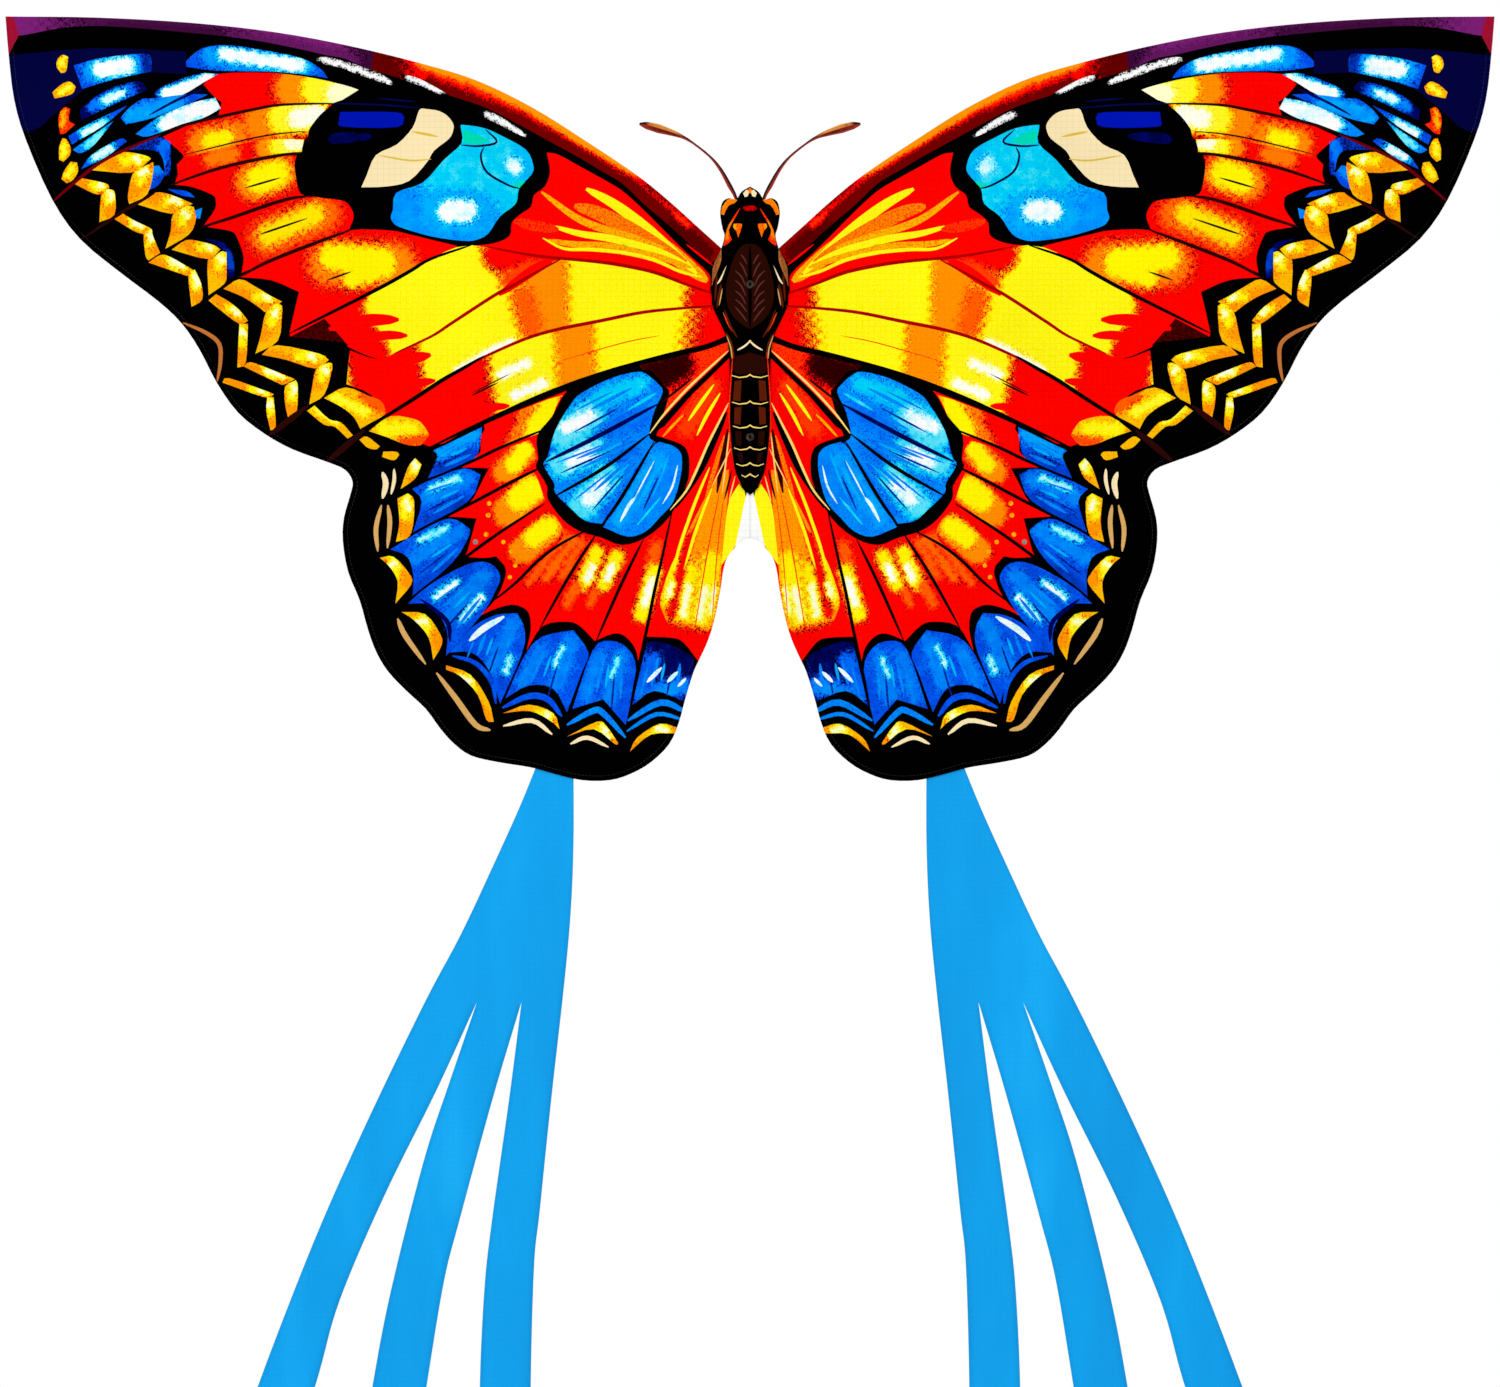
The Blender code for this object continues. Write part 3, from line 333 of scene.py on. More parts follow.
# Strokes: paint, width, and the line they follow. They taper to both ends.
FOREWING_STROKES = [
    ("red", 12, [(396, -18), (362, -10), (330, -9)]), ("red", 9, [(366, -30), (345, -24), (322, -24)]),
    ("red", 12, [(352, -58), (326, -48), (300, -42)]), ("red", 9, [(340, -78), (318, -70), (296, -66)]),
    ("red", 9, [(300, -86), (272, -76), (248, -72)]), ("red", 8, [(270, -100), (246, -92), (226, -90)]),
    ("red", 10, [(186, 47), (206, 36), (236, 14)]),
    ("red", 2, [(35, 42), (60, 62)]), ("amber", 15, [(40, 27), (62, 44), (82, 60), (108, 74)]),
    ("yellow", 10, [(50, 34), (80, 62), (105, 83), (130, 101), (154, 114)]),
    ("orange", 14, [(60, 45), (95, 66), (120, 80), (145, 92), (165, 98)]),
    ("amber", 7, [(80, 58), (110, 68), (140, 77), (165, 88), (196, 111)]),
    ("yellow", 7, [(60, 44), (85, 55), (110, 62), (135, 68), (160, 72), (185, 79)]),
    ("amber", 7, [(55, 40), (80, 48), (105, 54), (135, 60), (165, 62), (190, 66)]),
    ("yellow", 3.5, [(45, 31), (65, 36), (90, 47), (120, 54), (150, 57), (175, 58), (195, 68)]),
    ("ember", 10, [(180, 76), (200, 79), (222, 84)]),
    ("vein", 3.4, [(30, 14), (60, 24), (80, 32), (100, 38), (140, 45), (200, 51), (250, 60)]),
    ("black", 3.6, [(262, 61), (300, 48), (318, 37.5), (342, 24), (370, 9.5), (401, -6), (433, -22)]),
    ("vein", 3.2, [(176, 49), (202, 35), (221, 24), (240, 14), (280, -12), (300, -25), (335, -41)]),
    ("vein", 3.4, [(30, 4), (60, 2), (100, -2), (140, -10), (180, -18), (211, -27), (250, -44),
                   (267, -53)]),
    ("black", 4, [(250, -43), (267, -53), (290, -66), (317, -84), (342, -100), (360, -111)]),
    ("black", 4, [(16, -22), (40, -33), (80, -43), (140, -60), (200, -82), (257, -108), (305, -131)]),
    ("soot", 3.6, [(374, 76), (410, 62.5), (454, 45), (482, 30)]),
    ("soot", 3.6, [(414, 107), (437, 103), (485, 87), (516, 78)]),
    ("soot", 3.6, [(421, 148), (450, 144), (497, 134), (545, 118)]),
    ("soot", 3, [(390, 194), (440, 193), (467, 189), (497, 183), (522, 177), (553, 167)]),
    ("soot", 1.6, [(416, 168), (450, 165), (482, 159), (534, 146)]),
    ("soot", 2, [(441, 124), (475, 114)]), ("soot", 2, [(416, 86), (445, 76), (460, 71)]),
    ("soot", 2, [(375, 36), (398, 28)]), ("soot", 2, [(237, -68), (262, -80)]),
    ("ocean", 2.2, [(249, 170), (238, 158), (255, 154), (272, 155)]),
    ("ocean", 2.2, [(250, 153), (253, 144), (247, 129), (227, 117), (216, 114)]),
    ("sand", 1.8, [(300, 142), (320, 141), (350, 146)]), ("sand", 2.5, [(293, 163), (318, 168)]),
    ("dim", 1.5, [(310, 190), (350, 193), (395, 194)]), ("dim", 1.5, [(315, 196), (350, 199)]),
    ("navy", 2.5, [(515, 208), (540, 197), (565, 183)]),
    ("copper", 4, [(533, -12), (512, -21), (499, -32), (498, -50), (501, -67)]),
    ("ember", 1, [(85, -24), (120, -31), (182, -49)]), ("soot", 1.2, [(226, -60), (262, -78)]),
    ("wine", 3, [(554, 165), (580, 153), (610, 138), (640, 115), (656, 101)]),
    ("soot", 3, [(560, 110), (590, 93), (628, 67)]), ("soot", 6, [(415, -90), (453, -118)]),
    ("soot", 6, [(362, -113), (398, -143)]),
]

# Gold marks along the forewing's lower margin.
FRINGE = [
    ("gilt", [(344, -99), (343, -92), (348, -85), (358, -81), (380, -73), (400, -83), (383, -92),
              (372, -101), (366, -112), (356, -106)],
     [(0.50, 3, 6, [(346, -90), (360, -82)]), (0.86, 2, 6, [(362, -96), (390, -82)])]),
    ("gilt", [(302, -117), (306, -110), (314, -103), (338, -100), (358, -114), (340, -120),
              (325, -126), (310, -127)],
     [(0.84, 4, 6, [(318, -112), (344, -112)]), (0.48, 2, 4, [(304, -122), (326, -125)])]),
    ("gilt", [(373, -118), (384, -106), (395, -103), (409, -90), (416, -95), (400, -108),
              (390, -110), (378, -121)], [(0.88, 1, 4, [(388, -106), (408, -94)])]),
    ("gilt", [(348, -128), (360, -119), (367, -122), (360, -129), (352, -131)], []),
    ("gilt", [(330, -136), (333, -133), (345, -133), (346, -138), (335, -141)], []),
]

# The hindwing's areas, in the same form as the forewing's.
HINDWING = [
    ("ember", [(21, -30), (40, -37), (60, -42), (105, -52), (94, -62), (84, -72), (82, -80),
               (88, -88), (94, -115), (60, -78), (20, -39)],
     [(0.02, 8, 9, [(68, -52), (84, -60), (104, -64)])]),
    ("red", [(16, -42), (55, -80), (95, -118), (150, -100), (172, -76), (220, -95), (250, -108),
             (248, -122), (256, -137), (272, -148), (245, -149), (250, -160), (262, -180),
             (283, -194), (257, -196), (259, -213), (268, -232), (250, -233), (236, -231),
             (231, -240), (230, -250), (238, -270), (253, -287), (240, -281), (225, -277),
             (215, -279), (208, -285), (206, -300), (210, -320), (195, -297), (172, -293),
             (160, -297), (146, -311), (128, -304), (117, -307), (108, -318), (105, -330),
             (98, -307), (75, -308), (63, -312), (48, -331), (30, -325), (8, -230), (8, -160),
             (14, -90)],
     [(0.50, 3, 6, [(88, -222), (92, -240)]), (0.83, 5, 5, [(90, -246), (102, -286)]),
      (1.0, 2, 4, [(92, -254), (99, -276)]), (0.50, 2, 5, [(158, -218), (176, -250)]),
      (0.52, 2, 5, [(166, -216), (192, -252)]), (0.50, 1.5, 5, [(174, -212), (208, -256)]),
      (0.83, 4.5, 5, [(125, -232), (138, -258)]), (0.83, 4.5, 5, [(144, -228), (158, -258)]),
      (1.0, 2, 4, [(130, -242), (134, -252)]), (1.0, 2, 4, [(148, -242), (152, -252)]),
      (0.50, 2, 4, [(146, -266), (150, -276)]), (0.50, 3, 4, [(164, -260), (172, -276)]),
      (0.44, 4, 8, [(36, -72), (60, -112)])]),
    ("yellow", [(10, -163), (19, -178), (23, -200), (27, -240), (13, -220), (9, -203), (4, -175)],
     []),
    ("apricot", [(20, -150), (30, -156), (46, -184), (60, -212), (74, -240), (84, -270),
                 (82, -284), (72, -300), (48, -306), (31, -290), (27, -240), (22, -190)],
     [(0.82, 5, 8, [(36, -236), (46, -290)]), (0.82, 4, 8, [(57, -244), (64, -290)]),
      (0.82, 4, 6, [(70, -238), (77, -272)]), (0.31, 4, 8, [(50, -310), (74, -304)]),
      (0.31, 1, 4, [(56, -212), (66, -248), (74, -286)]), (0.98, 1.5, 4, [(42, -262), (48, -290)]),
      (0.98, 1.5, 4, [(58, -260), (63, -286)]), (0.98, 1, 3, [(33, -262), (37, -284)]),
      (0.98, 1.5, 4, [(73, -258), (76, -268)])]),
    ("orange", [(176, -80), (200, -88), (248, -110), (253, -135), (215, -122), (192, -112),
                (182, -90)],
     [(0.83, 7, 6, [(188, -88), (202, -114)]), (0.31, 14, 6, [(238, -100), (252, -126)])]),
    ("red", [(201, -135), (207, -122), (256, -141), (270, -148), (245, -149), (260, -178),
             (205, -149)],
     [(0.60, 9, 5, [(212, -134), (230, -152)]), (0.83, 6, 4, [(212, -132), (222, -146)])]),
    ("red", [(193, -178), (201, -156), (207, -152), (260, -182), (281, -194), (257, -196),
             (266, -229), (198, -183)],
     [(0.60, 13, 5, [(204, -168), (226, -190)]), (0.83, 9, 5, [(204, -168), (217, -178)])]),
    ("red", [(180, -198), (190, -188), (232, -212), (240, -230), (228, -245), (228, -262),
             (200, -236), (176, -214)],
     [(0.60, 10, 5, [(188, -204), (214, -226)]), (0.83, 7, 5, [(190, -204), (204, -214)])]),
    ("black", [(80, -72), (88, -62), (100, -56), (150, -66), (172, -76), (186, -100), (200, -118),
               (199, -140), (201, -148), (191, -165), (190, -178), (176, -197), (160, -208),
               (140, -214), (120, -221), (98, -214), (76, -195), (60, -165), (57, -150), (58, -135),
               (65, -126), (88, -118), (76, -80)], []),
    ("azure", [(82, -77), (87, -69), (95, -62), (105, -58), (130, -64), (158, -78), (168, -88),
               (183, -113), (190, -138), (194, -146), (184, -163), (183, -172), (168, -187),
               (155, -198), (138, -201), (89, -124), (95, -118), (90, -95)],
     [(0.42, 4, 8, [(100, -98), (130, -110)]), (0.42, 3, 6, [(112, -130), (140, -148)]),
      (0.42, 3, 6, [(112, -150), (134, -186)]), (0.42, 2, 6, [(178, -96), (188, -136)]),
      (0.80, 11, 7, [(150, -98), (176, -116)]), (0.80, 10, 7, [(148, -132), (176, -144)]),
      (0.80, 10, 7, [(134, -158), (158, -184)]),
      (1.0, 4, 5, [(152, -100), (172, -110)]), (1.0, 4, 5, [(150, -134), (168, -142)]),
      (1.0, 4, 5, [(138, -164), (152, -178)]), (0.72, 4, 8, [(104, -70), (140, -82)])]),
    ("azure", [(64, -140), (66, -133), (72, -128), (80, -125.5), (89, -126), (105, -150),
              (138, -204), (115, -213), (98, -208), (85, -195), (72, -180), (65, -155)],
     [(0.47, 4, 7, [(72, -140), (88, -178)]), (0.58, 4, 7, [(86, -142), (122, -196)])]),
    ("blue", [(252, -110), (285, -126), (298, -132), (294, -138), (303, -158), (262, -142),
              (254, -128)],
     [(0.58, 3, 7, [(260, -118), (290, -134)]), (0.27, 2, 6, [(262, -140), (300, -156)])]),
    ("blue", [(253, -155), (268, -149), (295, -157), (318, -168), (309, -180), (317, -209),
              (265, -180)],
     [(0.47, 4, 7, [(266, -158), (304, -176)]), (0.92, 1.5, 4, [(274, -158), (300, -168)]),
      (0.27, 2, 6, [(268, -180), (314, -206)])]),
    ("blue", [(264, -212), (266, -204), (282, -196), (305, -205), (338, -225), (322, -232),
              (316, -250), (317, -270), (280, -238)],
     [(0.47, 4, 7, [(274, -208), (316, -232)]), (0.92, 1.5, 4, [(286, -205), (310, -216)]),
      (0.27, 2, 6, [(278, -238), (314, -266)])]),
    ("blue", [(235, -250), (245, -238), (265, -239), (300, -258), (321, -276), (300, -278),
              (285, -300), (286, -325), (252, -286), (240, -265)],
     [(0.46, 4, 7, [(250, -250), (284, -288)]), (1.0, 1.5, 4, [(276, -256), (295, -270)]),
      (1.0, 1.5, 4, [(252, -270), (270, -290)])]),
    ("blue", [(212, -300), (219, -285), (240, -287), (262, -299), (283, -322), (262, -322),
              (246, -338), (235, -370), (214, -322)],
     [(0.46, 4, 7, [(222, -296), (244, -336)]), (0.95, 1.5, 4, [(226, -328), (230, -340)])]),
    ("blue", [(152, -322), (166, -301), (195, -307), (212, -325), (230, -365), (208, -353),
              (185, -356), (172, -378), (158, -340)],
     [(0.46, 4, 7, [(168, -312), (182, -352)]), (0.46, 3, 6, [(196, -318), (214, -350)]),
      (0.95, 1, 3, [(176, -316), (184, -334)])]),
    ("blue", [(107, -340), (115, -318), (132, -311), (148, -320), (167, -375), (138, -366),
              (117, -390)],
     [(0.46, 4, 7, [(122, -326), (132, -364)]), (0.46, 3, 6, [(142, -326), (156, -364)]),
      (0.95, 1, 3, [(124, -328), (130, -344)])]),
    ("navy", [(53, -335), (60, -322), (85, -312), (97, -313), (111, -372), (90, -358), (61, -369)],
     [(0.50, 4, 8, [(64, -354), (104, -362)]), (0.40, 4, 8, [(92, -330), (104, -356)])]),
]

# Gold crescents round the margin of the hindwing.
CRESCENTS = [
    [(309, -145), (315, -139), (322, -148), (329, -168), (315, -158)],
    [(316, -180), (322, -172), (332, -177), (330, -200), (333, -218), (319, -211)],
    [(348, -233), (335, -232), (320, -248), (318, -258), (333, -276), (331, -255),
              (340, -240)],
    [(327, -284), (305, -286), (291, -305), (290, -315), (298, -329), (302, -308),
              (315, -292)],
    [(286, -334), (263, -343), (246, -368), (241, -387), (248, -385), (256, -362),
              (273, -344), (286, -338)],
    [(179, -394), (185, -379), (208, -371), (232, -379), (207, -377), (188, -386)],
    [(124, -407), (135, -391), (144, -387), (172, -401), (147, -394), (127, -408)],
    [(67, -393), (85, -389), (106, -402), (113, -415), (93, -399), (70, -398)],
]
HINDWING_STROKES = [
    ("soot", 2.5, [(54, -64), (82, -86)]),
    ("straw", 2.2, [(20, -38), (40, -56), (60, -75), (80, -97), (95, -117)]),
    ("black", 3, [(18, -41), (38, -60), (58, -79), (78, -101), (92, -120)]),
    ("black", 7, [(22, -96), (36, -127), (48, -152), (70, -186)]),
    ("straw", 2.4, [(20, -87), (30, -107), (40, -127), (50, -150), (60, -170), (75, -188)]),
    ("yellow", 3.2, [(34, -70), (47, -88), (58, -104)]),
    ("yellow", 3.2, [(28, -78), (40, -98), (50, -118)]),
    ("amber", 2.4, [(62, -98), (72, -108), (82, -119)]), ("ember", 4, [(48, -78), (66, -100)]),
    ("maroon", 5, [(21, -112), (31, -172)]),
    ("straw", 1.4, [(19, -110), (26, -172)]), ("orange", 4, [(24, -118), (42, -178)]),
    ("straw", 1.2, [(18, -130), (36, -166)]), ("soot", 2, [(17, -150), (24, -178)]),
    ("straw", 1.2, [(14, -156), (20, -180)]), ("red", 3, [(44, -186), (58, -222), (68, -262)]),
    ("yellow", 3, [(38, -148), (52, -182), (66, -222), (72, -246)]),
    ("yellow", 3, [(36, -168), (50, -205), (62, -244)]),
    ("ember", 1.2, [(28, -168), (40, -228), (52, -300)]),
    ("ember", 1, [(24, -170), (31, -230), (36, -296)]),
    ("black", 3.2, [(73, -188), (82, -230), (90, -265), (97, -300), (108, -350), (115, -390)]),
    ("black", 3.2, [(100, -215), (122, -260), (145, -312)]),
    ("black", 3.2, [(143, -208), (170, -250), (198, -300)]),
    ("black", 3.2, [(150, -205), (180, -221), (200, -236), (220, -256), (242, -274)]),
    ("black", 3.2, [(190, -111), (235, -130), (258, -141), (305, -161)]),
    ("black", 3.2, [(190, -145), (220, -160), (262, -182), (320, -211)]),
    ("black", 3.2, [(193, -182), (235, -209), (268, -233), (320, -272)]),
    ("navy", 4.5, [(86, -88), (140, -117), (192, -143)]),
    ("black", 3.5, [(94, -116), (135, -147), (185, -176)]),
    ("black", 3.5, [(89, -122), (120, -175), (141, -205)]),
    ("cyan", 3, [(88, -78), (100, -85), (115, -94)]), ("ice", 2, [(68, -146), (73, -166), (82, -182)]),
    ("sky", 2, [(76, -136), (84, -158), (92, -176)]), ("ice", 1.4, [(90, -142), (108, -176)]),
    ("ice", 3.4, [(108, -176), (114, -184), (122, -199)]), ("cyan", 2.4, [(84, -176), (106, -202)]),
    ("navy", 4.5, [(282, -312), (285, -292), (309, -272)]),
    ("blue", 4.5, [(239, -370), (243, -350), (258, -332), (280, -325)]),
    ("blue", 6, [(177, -382), (190, -366), (208, -363), (233, -374)]),
    ("azure", 6, [(117, -402), (138, -379), (148, -377), (172, -390)]),
    ("azure", 6, [(60, -378), (84, -369), (115, -386)]), ("azure", 4, [(63, -385), (88, -380), (116, -396)]),
    ("ice", 6, [(231, -288), (250, -299), (264, -311)]), ("ice", 4, [(83, -336), (97, -350)]),
    ("ice", 4, [(68, -340), (78, -350)]), ("ice", 3, [(60, -346), (68, -354)]),
    ("cream", 3.5, [(335, -149), (335, -160), (338, -173)]),
    ("cream", 5.5, [(346, -152), (343, -163), (346, -177)]),
    ("tan", 4.5, [(341, -183), (339, -200), (341, -224)]),
    ("tan", 4.5, [(347, -183), (352, -205), (350, -227)]),
    ("tan", 5, [(331, -290), (324, -306), (305, -333)]),
    ("tan", 5.5, [(295, -341), (277, -365), (258, -390), (244, -395)]),
    ("cream", 4.5, [(186, -399), (205, -386), (232, -391)]),
    ("cream", 4, [(133, -411), (153, -402), (169, -408)]),
]

# Round spots: paint, radius and centre.
SPOTS = [
    ("amber", 2.2, (245, -182)), ("amber", 2.2, (246, -193)), ("amber", 2.2, (248, -211)),
    ("grey", 2.4, (258, -218)), ("amber", 2.0, (225, -227)), ("amber", 2.0, (232, -218)),
    ("amber", 2.0, (221, -240)), ("amber", 2.0, (226, -251)),
]

# The corners of each blue cell, for its streaks: two on its inner side and two on its outer one. The
# first eight are the scallops along the margin, and the others are in the blue spot near the body.
BLUE_CELLS = [
    [(62, -330), (95, -318), (66, -364), (108, -366)],
    [(118, -322), (144, -322), (118, -384), (160, -370)],
    [(162, -312), (205, -318), (176, -370), (226, -360)],
    [(218, -298), (260, -302), (238, -356), (270, -325)],
    [(248, -268), (262, -246), (284, -316), (304, -276)],
    [(270, -222), (272, -206), (308, -260), (328, -230)],
    [(264, -174), (264, -156), (312, -202), (306, -168)],
    [(258, -136), (258, -116), (300, -154), (292, -134)],
    [(92, -84), (110, -64), (172, -128), (166, -92)],
    [(100, -122), (108, -114), (180, -160), (188, -144)],
    [(98, -136), (108, -132), (142, -196), (172, -180)],
    [(72, -140), (92, -134), (92, -186), (124, -202)],
]

# The white cloth between the two wings, below the body.
PALE_NOTCH = [(0, -164), (2, -167), (6, -185), (14, -223), (0, -223)]

# The printed body panel: areas, strokes, and the gold line at the head of each segment, which is
# its height and how far it reaches from the middle.
BODY_PRINT = [
    ("orange", [(0, 115), (3, 112), (0, 109)], []),
    ("cream", [(1.0, 111.5), (3.5, 113), (6.5, 109.5), (5, 106), (2, 107)], []),
    ("dark", [(0, 98), (5, 97.5), (7, 95.5), (4.5, 93), (0, 93)],
     [(0.22, 1, 3, [(0, 95.5), (3, 95.5)])]),
    ("amber", [(12, 103), (16, 105.5), (21, 103.5), (26, 97), (27.5, 90), (24.5, 89), (22.5, 94),
               (19, 98.7), (15, 100)], [(0.56, 1, 2, [(14, 102), (20, 101), (26, 91)])]),
    ("ember", [(9, 96), (13, 91), (18, 83), (22, 75), (25, 60), (21, 62), (17, 66), (20, 75),
               (13, 88)], [(0.58, 1, 2, [(18, 82), (22, 68)])]),
    ("amber", [(7.5, 79), (9, 81), (15, 81), (16, 78), (13, 74), (11, 68)],
     [(0.52, 1, 2, [(10, 80), (12, 70)])]),
    ("segment", [(0, 62), (6, 61), (12, 55), (17, 44), (21, 30), (22.5, 20), (22, 8), (18, -3),
                 (10, -12), (0, -18)], []),
    ("copper", [(27, 58), (31, 50), (35, 39), (36, 22), (34, 28), (30, 38), (27, 47)],
     [(0.55, 0.6, 1.5, [(29, 52), (34, 34), (35, 26)])]),
    ("cream", [(22, 42), (24, 38), (28, 30), (32, 23), (27, 28)], []),
    ("amber", [(25.5, -2), (22, -12), (17, -20), (15, -21), (21, -10)],
     [(0.44, 1, 2, [(24, -6), (17, -19)])]),
    ("brown", [(23, -20), (17, -30), (14.5, -44), (16, -46), (19, -34)], []),
    ("segment", [(0, -40), (14, -44), (16, -56), (10, -61), (0, -59)], []),
    ("brown", [(8, -66), (14.5, -67), (16, -85), (9, -86)], []),
    ("brown", [(8, -91), (14.5, -92), (15, -107), (9, -108)], []),
    ("segment", [(8, -114), (14, -114), (13, -127), (8, -128)], []),
    ("segment", [(7, -135), (12, -134), (10, -143), (6, -144)], []),
]
BODY_STROKES = [
    ("rose", 1.5, [(3, 43), (6, 49), (8.6, 52)]), ("rose", 1.5, [(3, 31), (6, 39), (10, 45)]),
    ("rose", 1.5, [(4, 22), (8, 31), (14, 37)]), ("rose", 1.5, [(4, 13), (8, 22), (14, 28)]),
    ("rose", 1.5, [(4, 5), (8, 13), (14, 18)]), ("rose", 1.5, [(3, -2), (8, 5), (14, 10)]),
    ("rose", 1.5, [(3, -11), (8, -4), (14, 3)]), ("brown", 3, [(27, 24), (31, 2)]),
    ("brown", 2, [(31, 34), (33, 8)]), ("tan", 1.1, [(26, 20), (29, 4)]),
    ("tan", 1.2, [(22, -24), (18, -36), (17, -46)]),
    ("cream", 1.8, [(-1, -28.5), (5, -34), (12, -38)]),
    ("ember", 1.6, [(16, -40), (19.5, -90), (19, -120), (15, -150), (8, -166)]),
    ("brown", 2, [(24, 0), (19, -14), (12, -26)]),
]
BODY_BANDS = [(-63, 17), (-88, 17), (-110.5, 16), (-131, 15), (-146, 13), (-156.5, 8)]


# ---- curves and outlines -------------------------------------------------------------------------
def span(a, b, c, d, steps):
    """Points of a Catmull-Rom curve from b up to c, where a and d are the points on either side."""
    return [
        0.5 * (2 * b + (c - a) * t + (2 * a - 5 * b + 4 * c - d) * t ** 2
               + (3 * b - a - 3 * c + d) * t ** 3)
        for t in (i / steps for i in range(steps))
    ]


def smooth(outline, steps):
    """A smooth open curve through the points, with that many steps between two of them."""
    points = [Vector(p) for p in outline]
    ends = [points[0] * 2 - points[1]] + points + [points[-1] * 2 - points[-2]]
    spans = (span(*four, steps) for four in zip(ends, ends[1:], ends[2:], ends[3:]))
    return [p for made in spans for p in made] + [points[-1]]


def smooth_loop(outline, steps=3):
    """A closed curve through the points. It keeps its sharp corners sharp."""
    corner = math.radians(62)
    points = [Vector(p) for p in outline]
    n = len(points)

    def turn(i):
        into = points[i] - points[i - 1]
        out = points[(i + 1) % n] - points[i]
        return into.angle(out, 0)

    sharp = [turn(i) > corner for i in range(n)]
    curve = []
    for i in range(n):
        b, c = points[i], points[(i + 1) % n]
        a = b * 2 - c if sharp[i] else points[i - 1]
        d = c * 2 - b if sharp[(i + 1) % n] else points[(i + 2) % n]
        curve += span(a, b, c, d, steps)
    return curve


def along(line, i):
    """The direction of a line at its point i."""
    return (line[min(i + 1, len(line) - 1)] - line[max(i - 1, 0)]).normalized()


def inset_point(line, i, inset):
    """The point i of an outline, moved to the right of the outline's direction."""
    way = along(line, i)
    return line[i] + Vector((way.y, -way.x)) * inset


def circle(count):
    """The angles of evenly spaced points round a circle."""
    return [2 * math.pi * i / count for i in range(count)]


def stroke(width, line):
    """The outline of a brush stroke along a line, which tapers to a quarter at both ends."""
    points = smooth(line, 4) if len(line) > 2 else [
        Vector(line[0]).lerp(Vector(line[1]), i / 5) for i in range(6)
    ]
    sides = ([], [])
    for i, p in enumerate(points):
        way = along(points, i)
        share = math.sin(math.pi * i / (len(points) - 1)) ** 0.5
        half = width / 2 * (0.25 + 0.75 * share)
        across = Vector((-way.y, way.x)) * half
        sides[0].append(p + across)
        sides[1].append(p - across)
    return sides[0] + sides[1][::-1]


def streaks(corners):
    """Fine brush strokes that run across an area, from its inner side to its outer one."""
    count = 5
    inner_a, inner_b, outer_a, outer_b = (Vector(c) for c in corners)
    made = []
    for i in range(count):
        t = (i + 0.5) / count
        a, b = inner_a.lerp(inner_b, t), outer_a.lerp(outer_b, t)
        start, end = ((0.10, 0.72), (0.35, 0.95), (0.20, 0.60))[i % 3]
        paint = ("azure", "deep", "sky", "azure")[i % 4]
        made.append((paint, stroke((3.4, 2.0, 2.6)[i % 3], [a.lerp(b, start), a.lerp(b, end)]), []))
    return made


def disc(centre, radius):
    """The outline of a round spot."""
    x, z = centre
    return [Vector((x + radius * math.cos(a), z + radius * math.sin(a))) for a in circle(14)]


def inside(polygon, points):
    """Which of the points lie in the polygon."""
    poly = np.array([tuple(p) for p in polygon])
    low, high = poly.min(0), poly.max(0)
    near = np.nonzero(((points >= low) & (points <= high)).all(1))[0]
    x, z = points[near, 0], points[near, 1]
    hit = np.zeros(len(near), bool)
    for (ax, az), (bx, bz) in zip(poly, np.roll(poly, -1, 0)):
        if az == bz:
            continue
        crosses = (az > z) != (bz > z)
        hit ^= crosses & (x < (bx - ax) * (z - az) / (bz - az) + ax)
    found = np.zeros(len(points), bool)
    found[near] = hit
    return found


def line_distance(points, line):
    """How far each point is from a line of straight pieces."""
    best = np.full(len(points), 1e9)
    for a, b in zip(line, line[1:]):
        a, b = np.array(a, float), np.array(b, float)
        t = np.clip(((points - a) @ (b - a)) / max((b - a) @ (b - a), 1e-9), 0, 1)
        best = np.minimum(best, np.linalg.norm(points - a - t[:, None] * (b - a), axis=1))
    return best


def lit(points, tone, grain, lights):
    """The tones with soft light and shade laid over them, and more speckle where they change.

    The edge of a light is ragged, by two waves that cross."""
    for target, radius, soft, line in lights:
        ragged = soft * 0.35 * np.sin(points[:, 0] * 0.55) * np.sin(points[:, 1] * 0.62 + 1)
        reach = line_distance(points, line) - radius + ragged
        t = np.clip(1 - reach / (soft * 1.4), 0, 1)
        weight = t * t * (3 - 2 * t)
        change = np.abs(target - tone)
        tone = tone + (target - tone) * weight
        grain = grain * (1 - weight) + 0.02 * weight + 4.0 * change * weight * (1 - weight)
    return tone, grain


# ---- colours -------------------------------------------------------------------------------------
def linear(code):
    """Linear RGBA of a six-digit sRGB code."""
    parts = [int(code[i:i + 2], 16) / 255 for i in (0, 2, 4)]
    made = [c / 12.92 if c <= 0.04045 else ((c + 0.055) / 1.055) ** 2.4 for c in parts]
    return (*made, 1.0)


# The numbers that the print's material knows the kinds of paint by.
KINDS = {"warm": 0.0, "cool": 1.0, "flat": 2.0, "mono": 3.0}


def paint_values(name):
    """Tone, kind, grain and flat colour of a paint. A hole has none, and passes for black."""
    found = PAINTS.get(name, "000000")
    if isinstance(found, str):
        return 1.0, KINDS["flat"], 0.0, linear(found)
    kind, tone, grain = found
    return tone, KINDS[kind], grain, (0, 0, 0, 1)


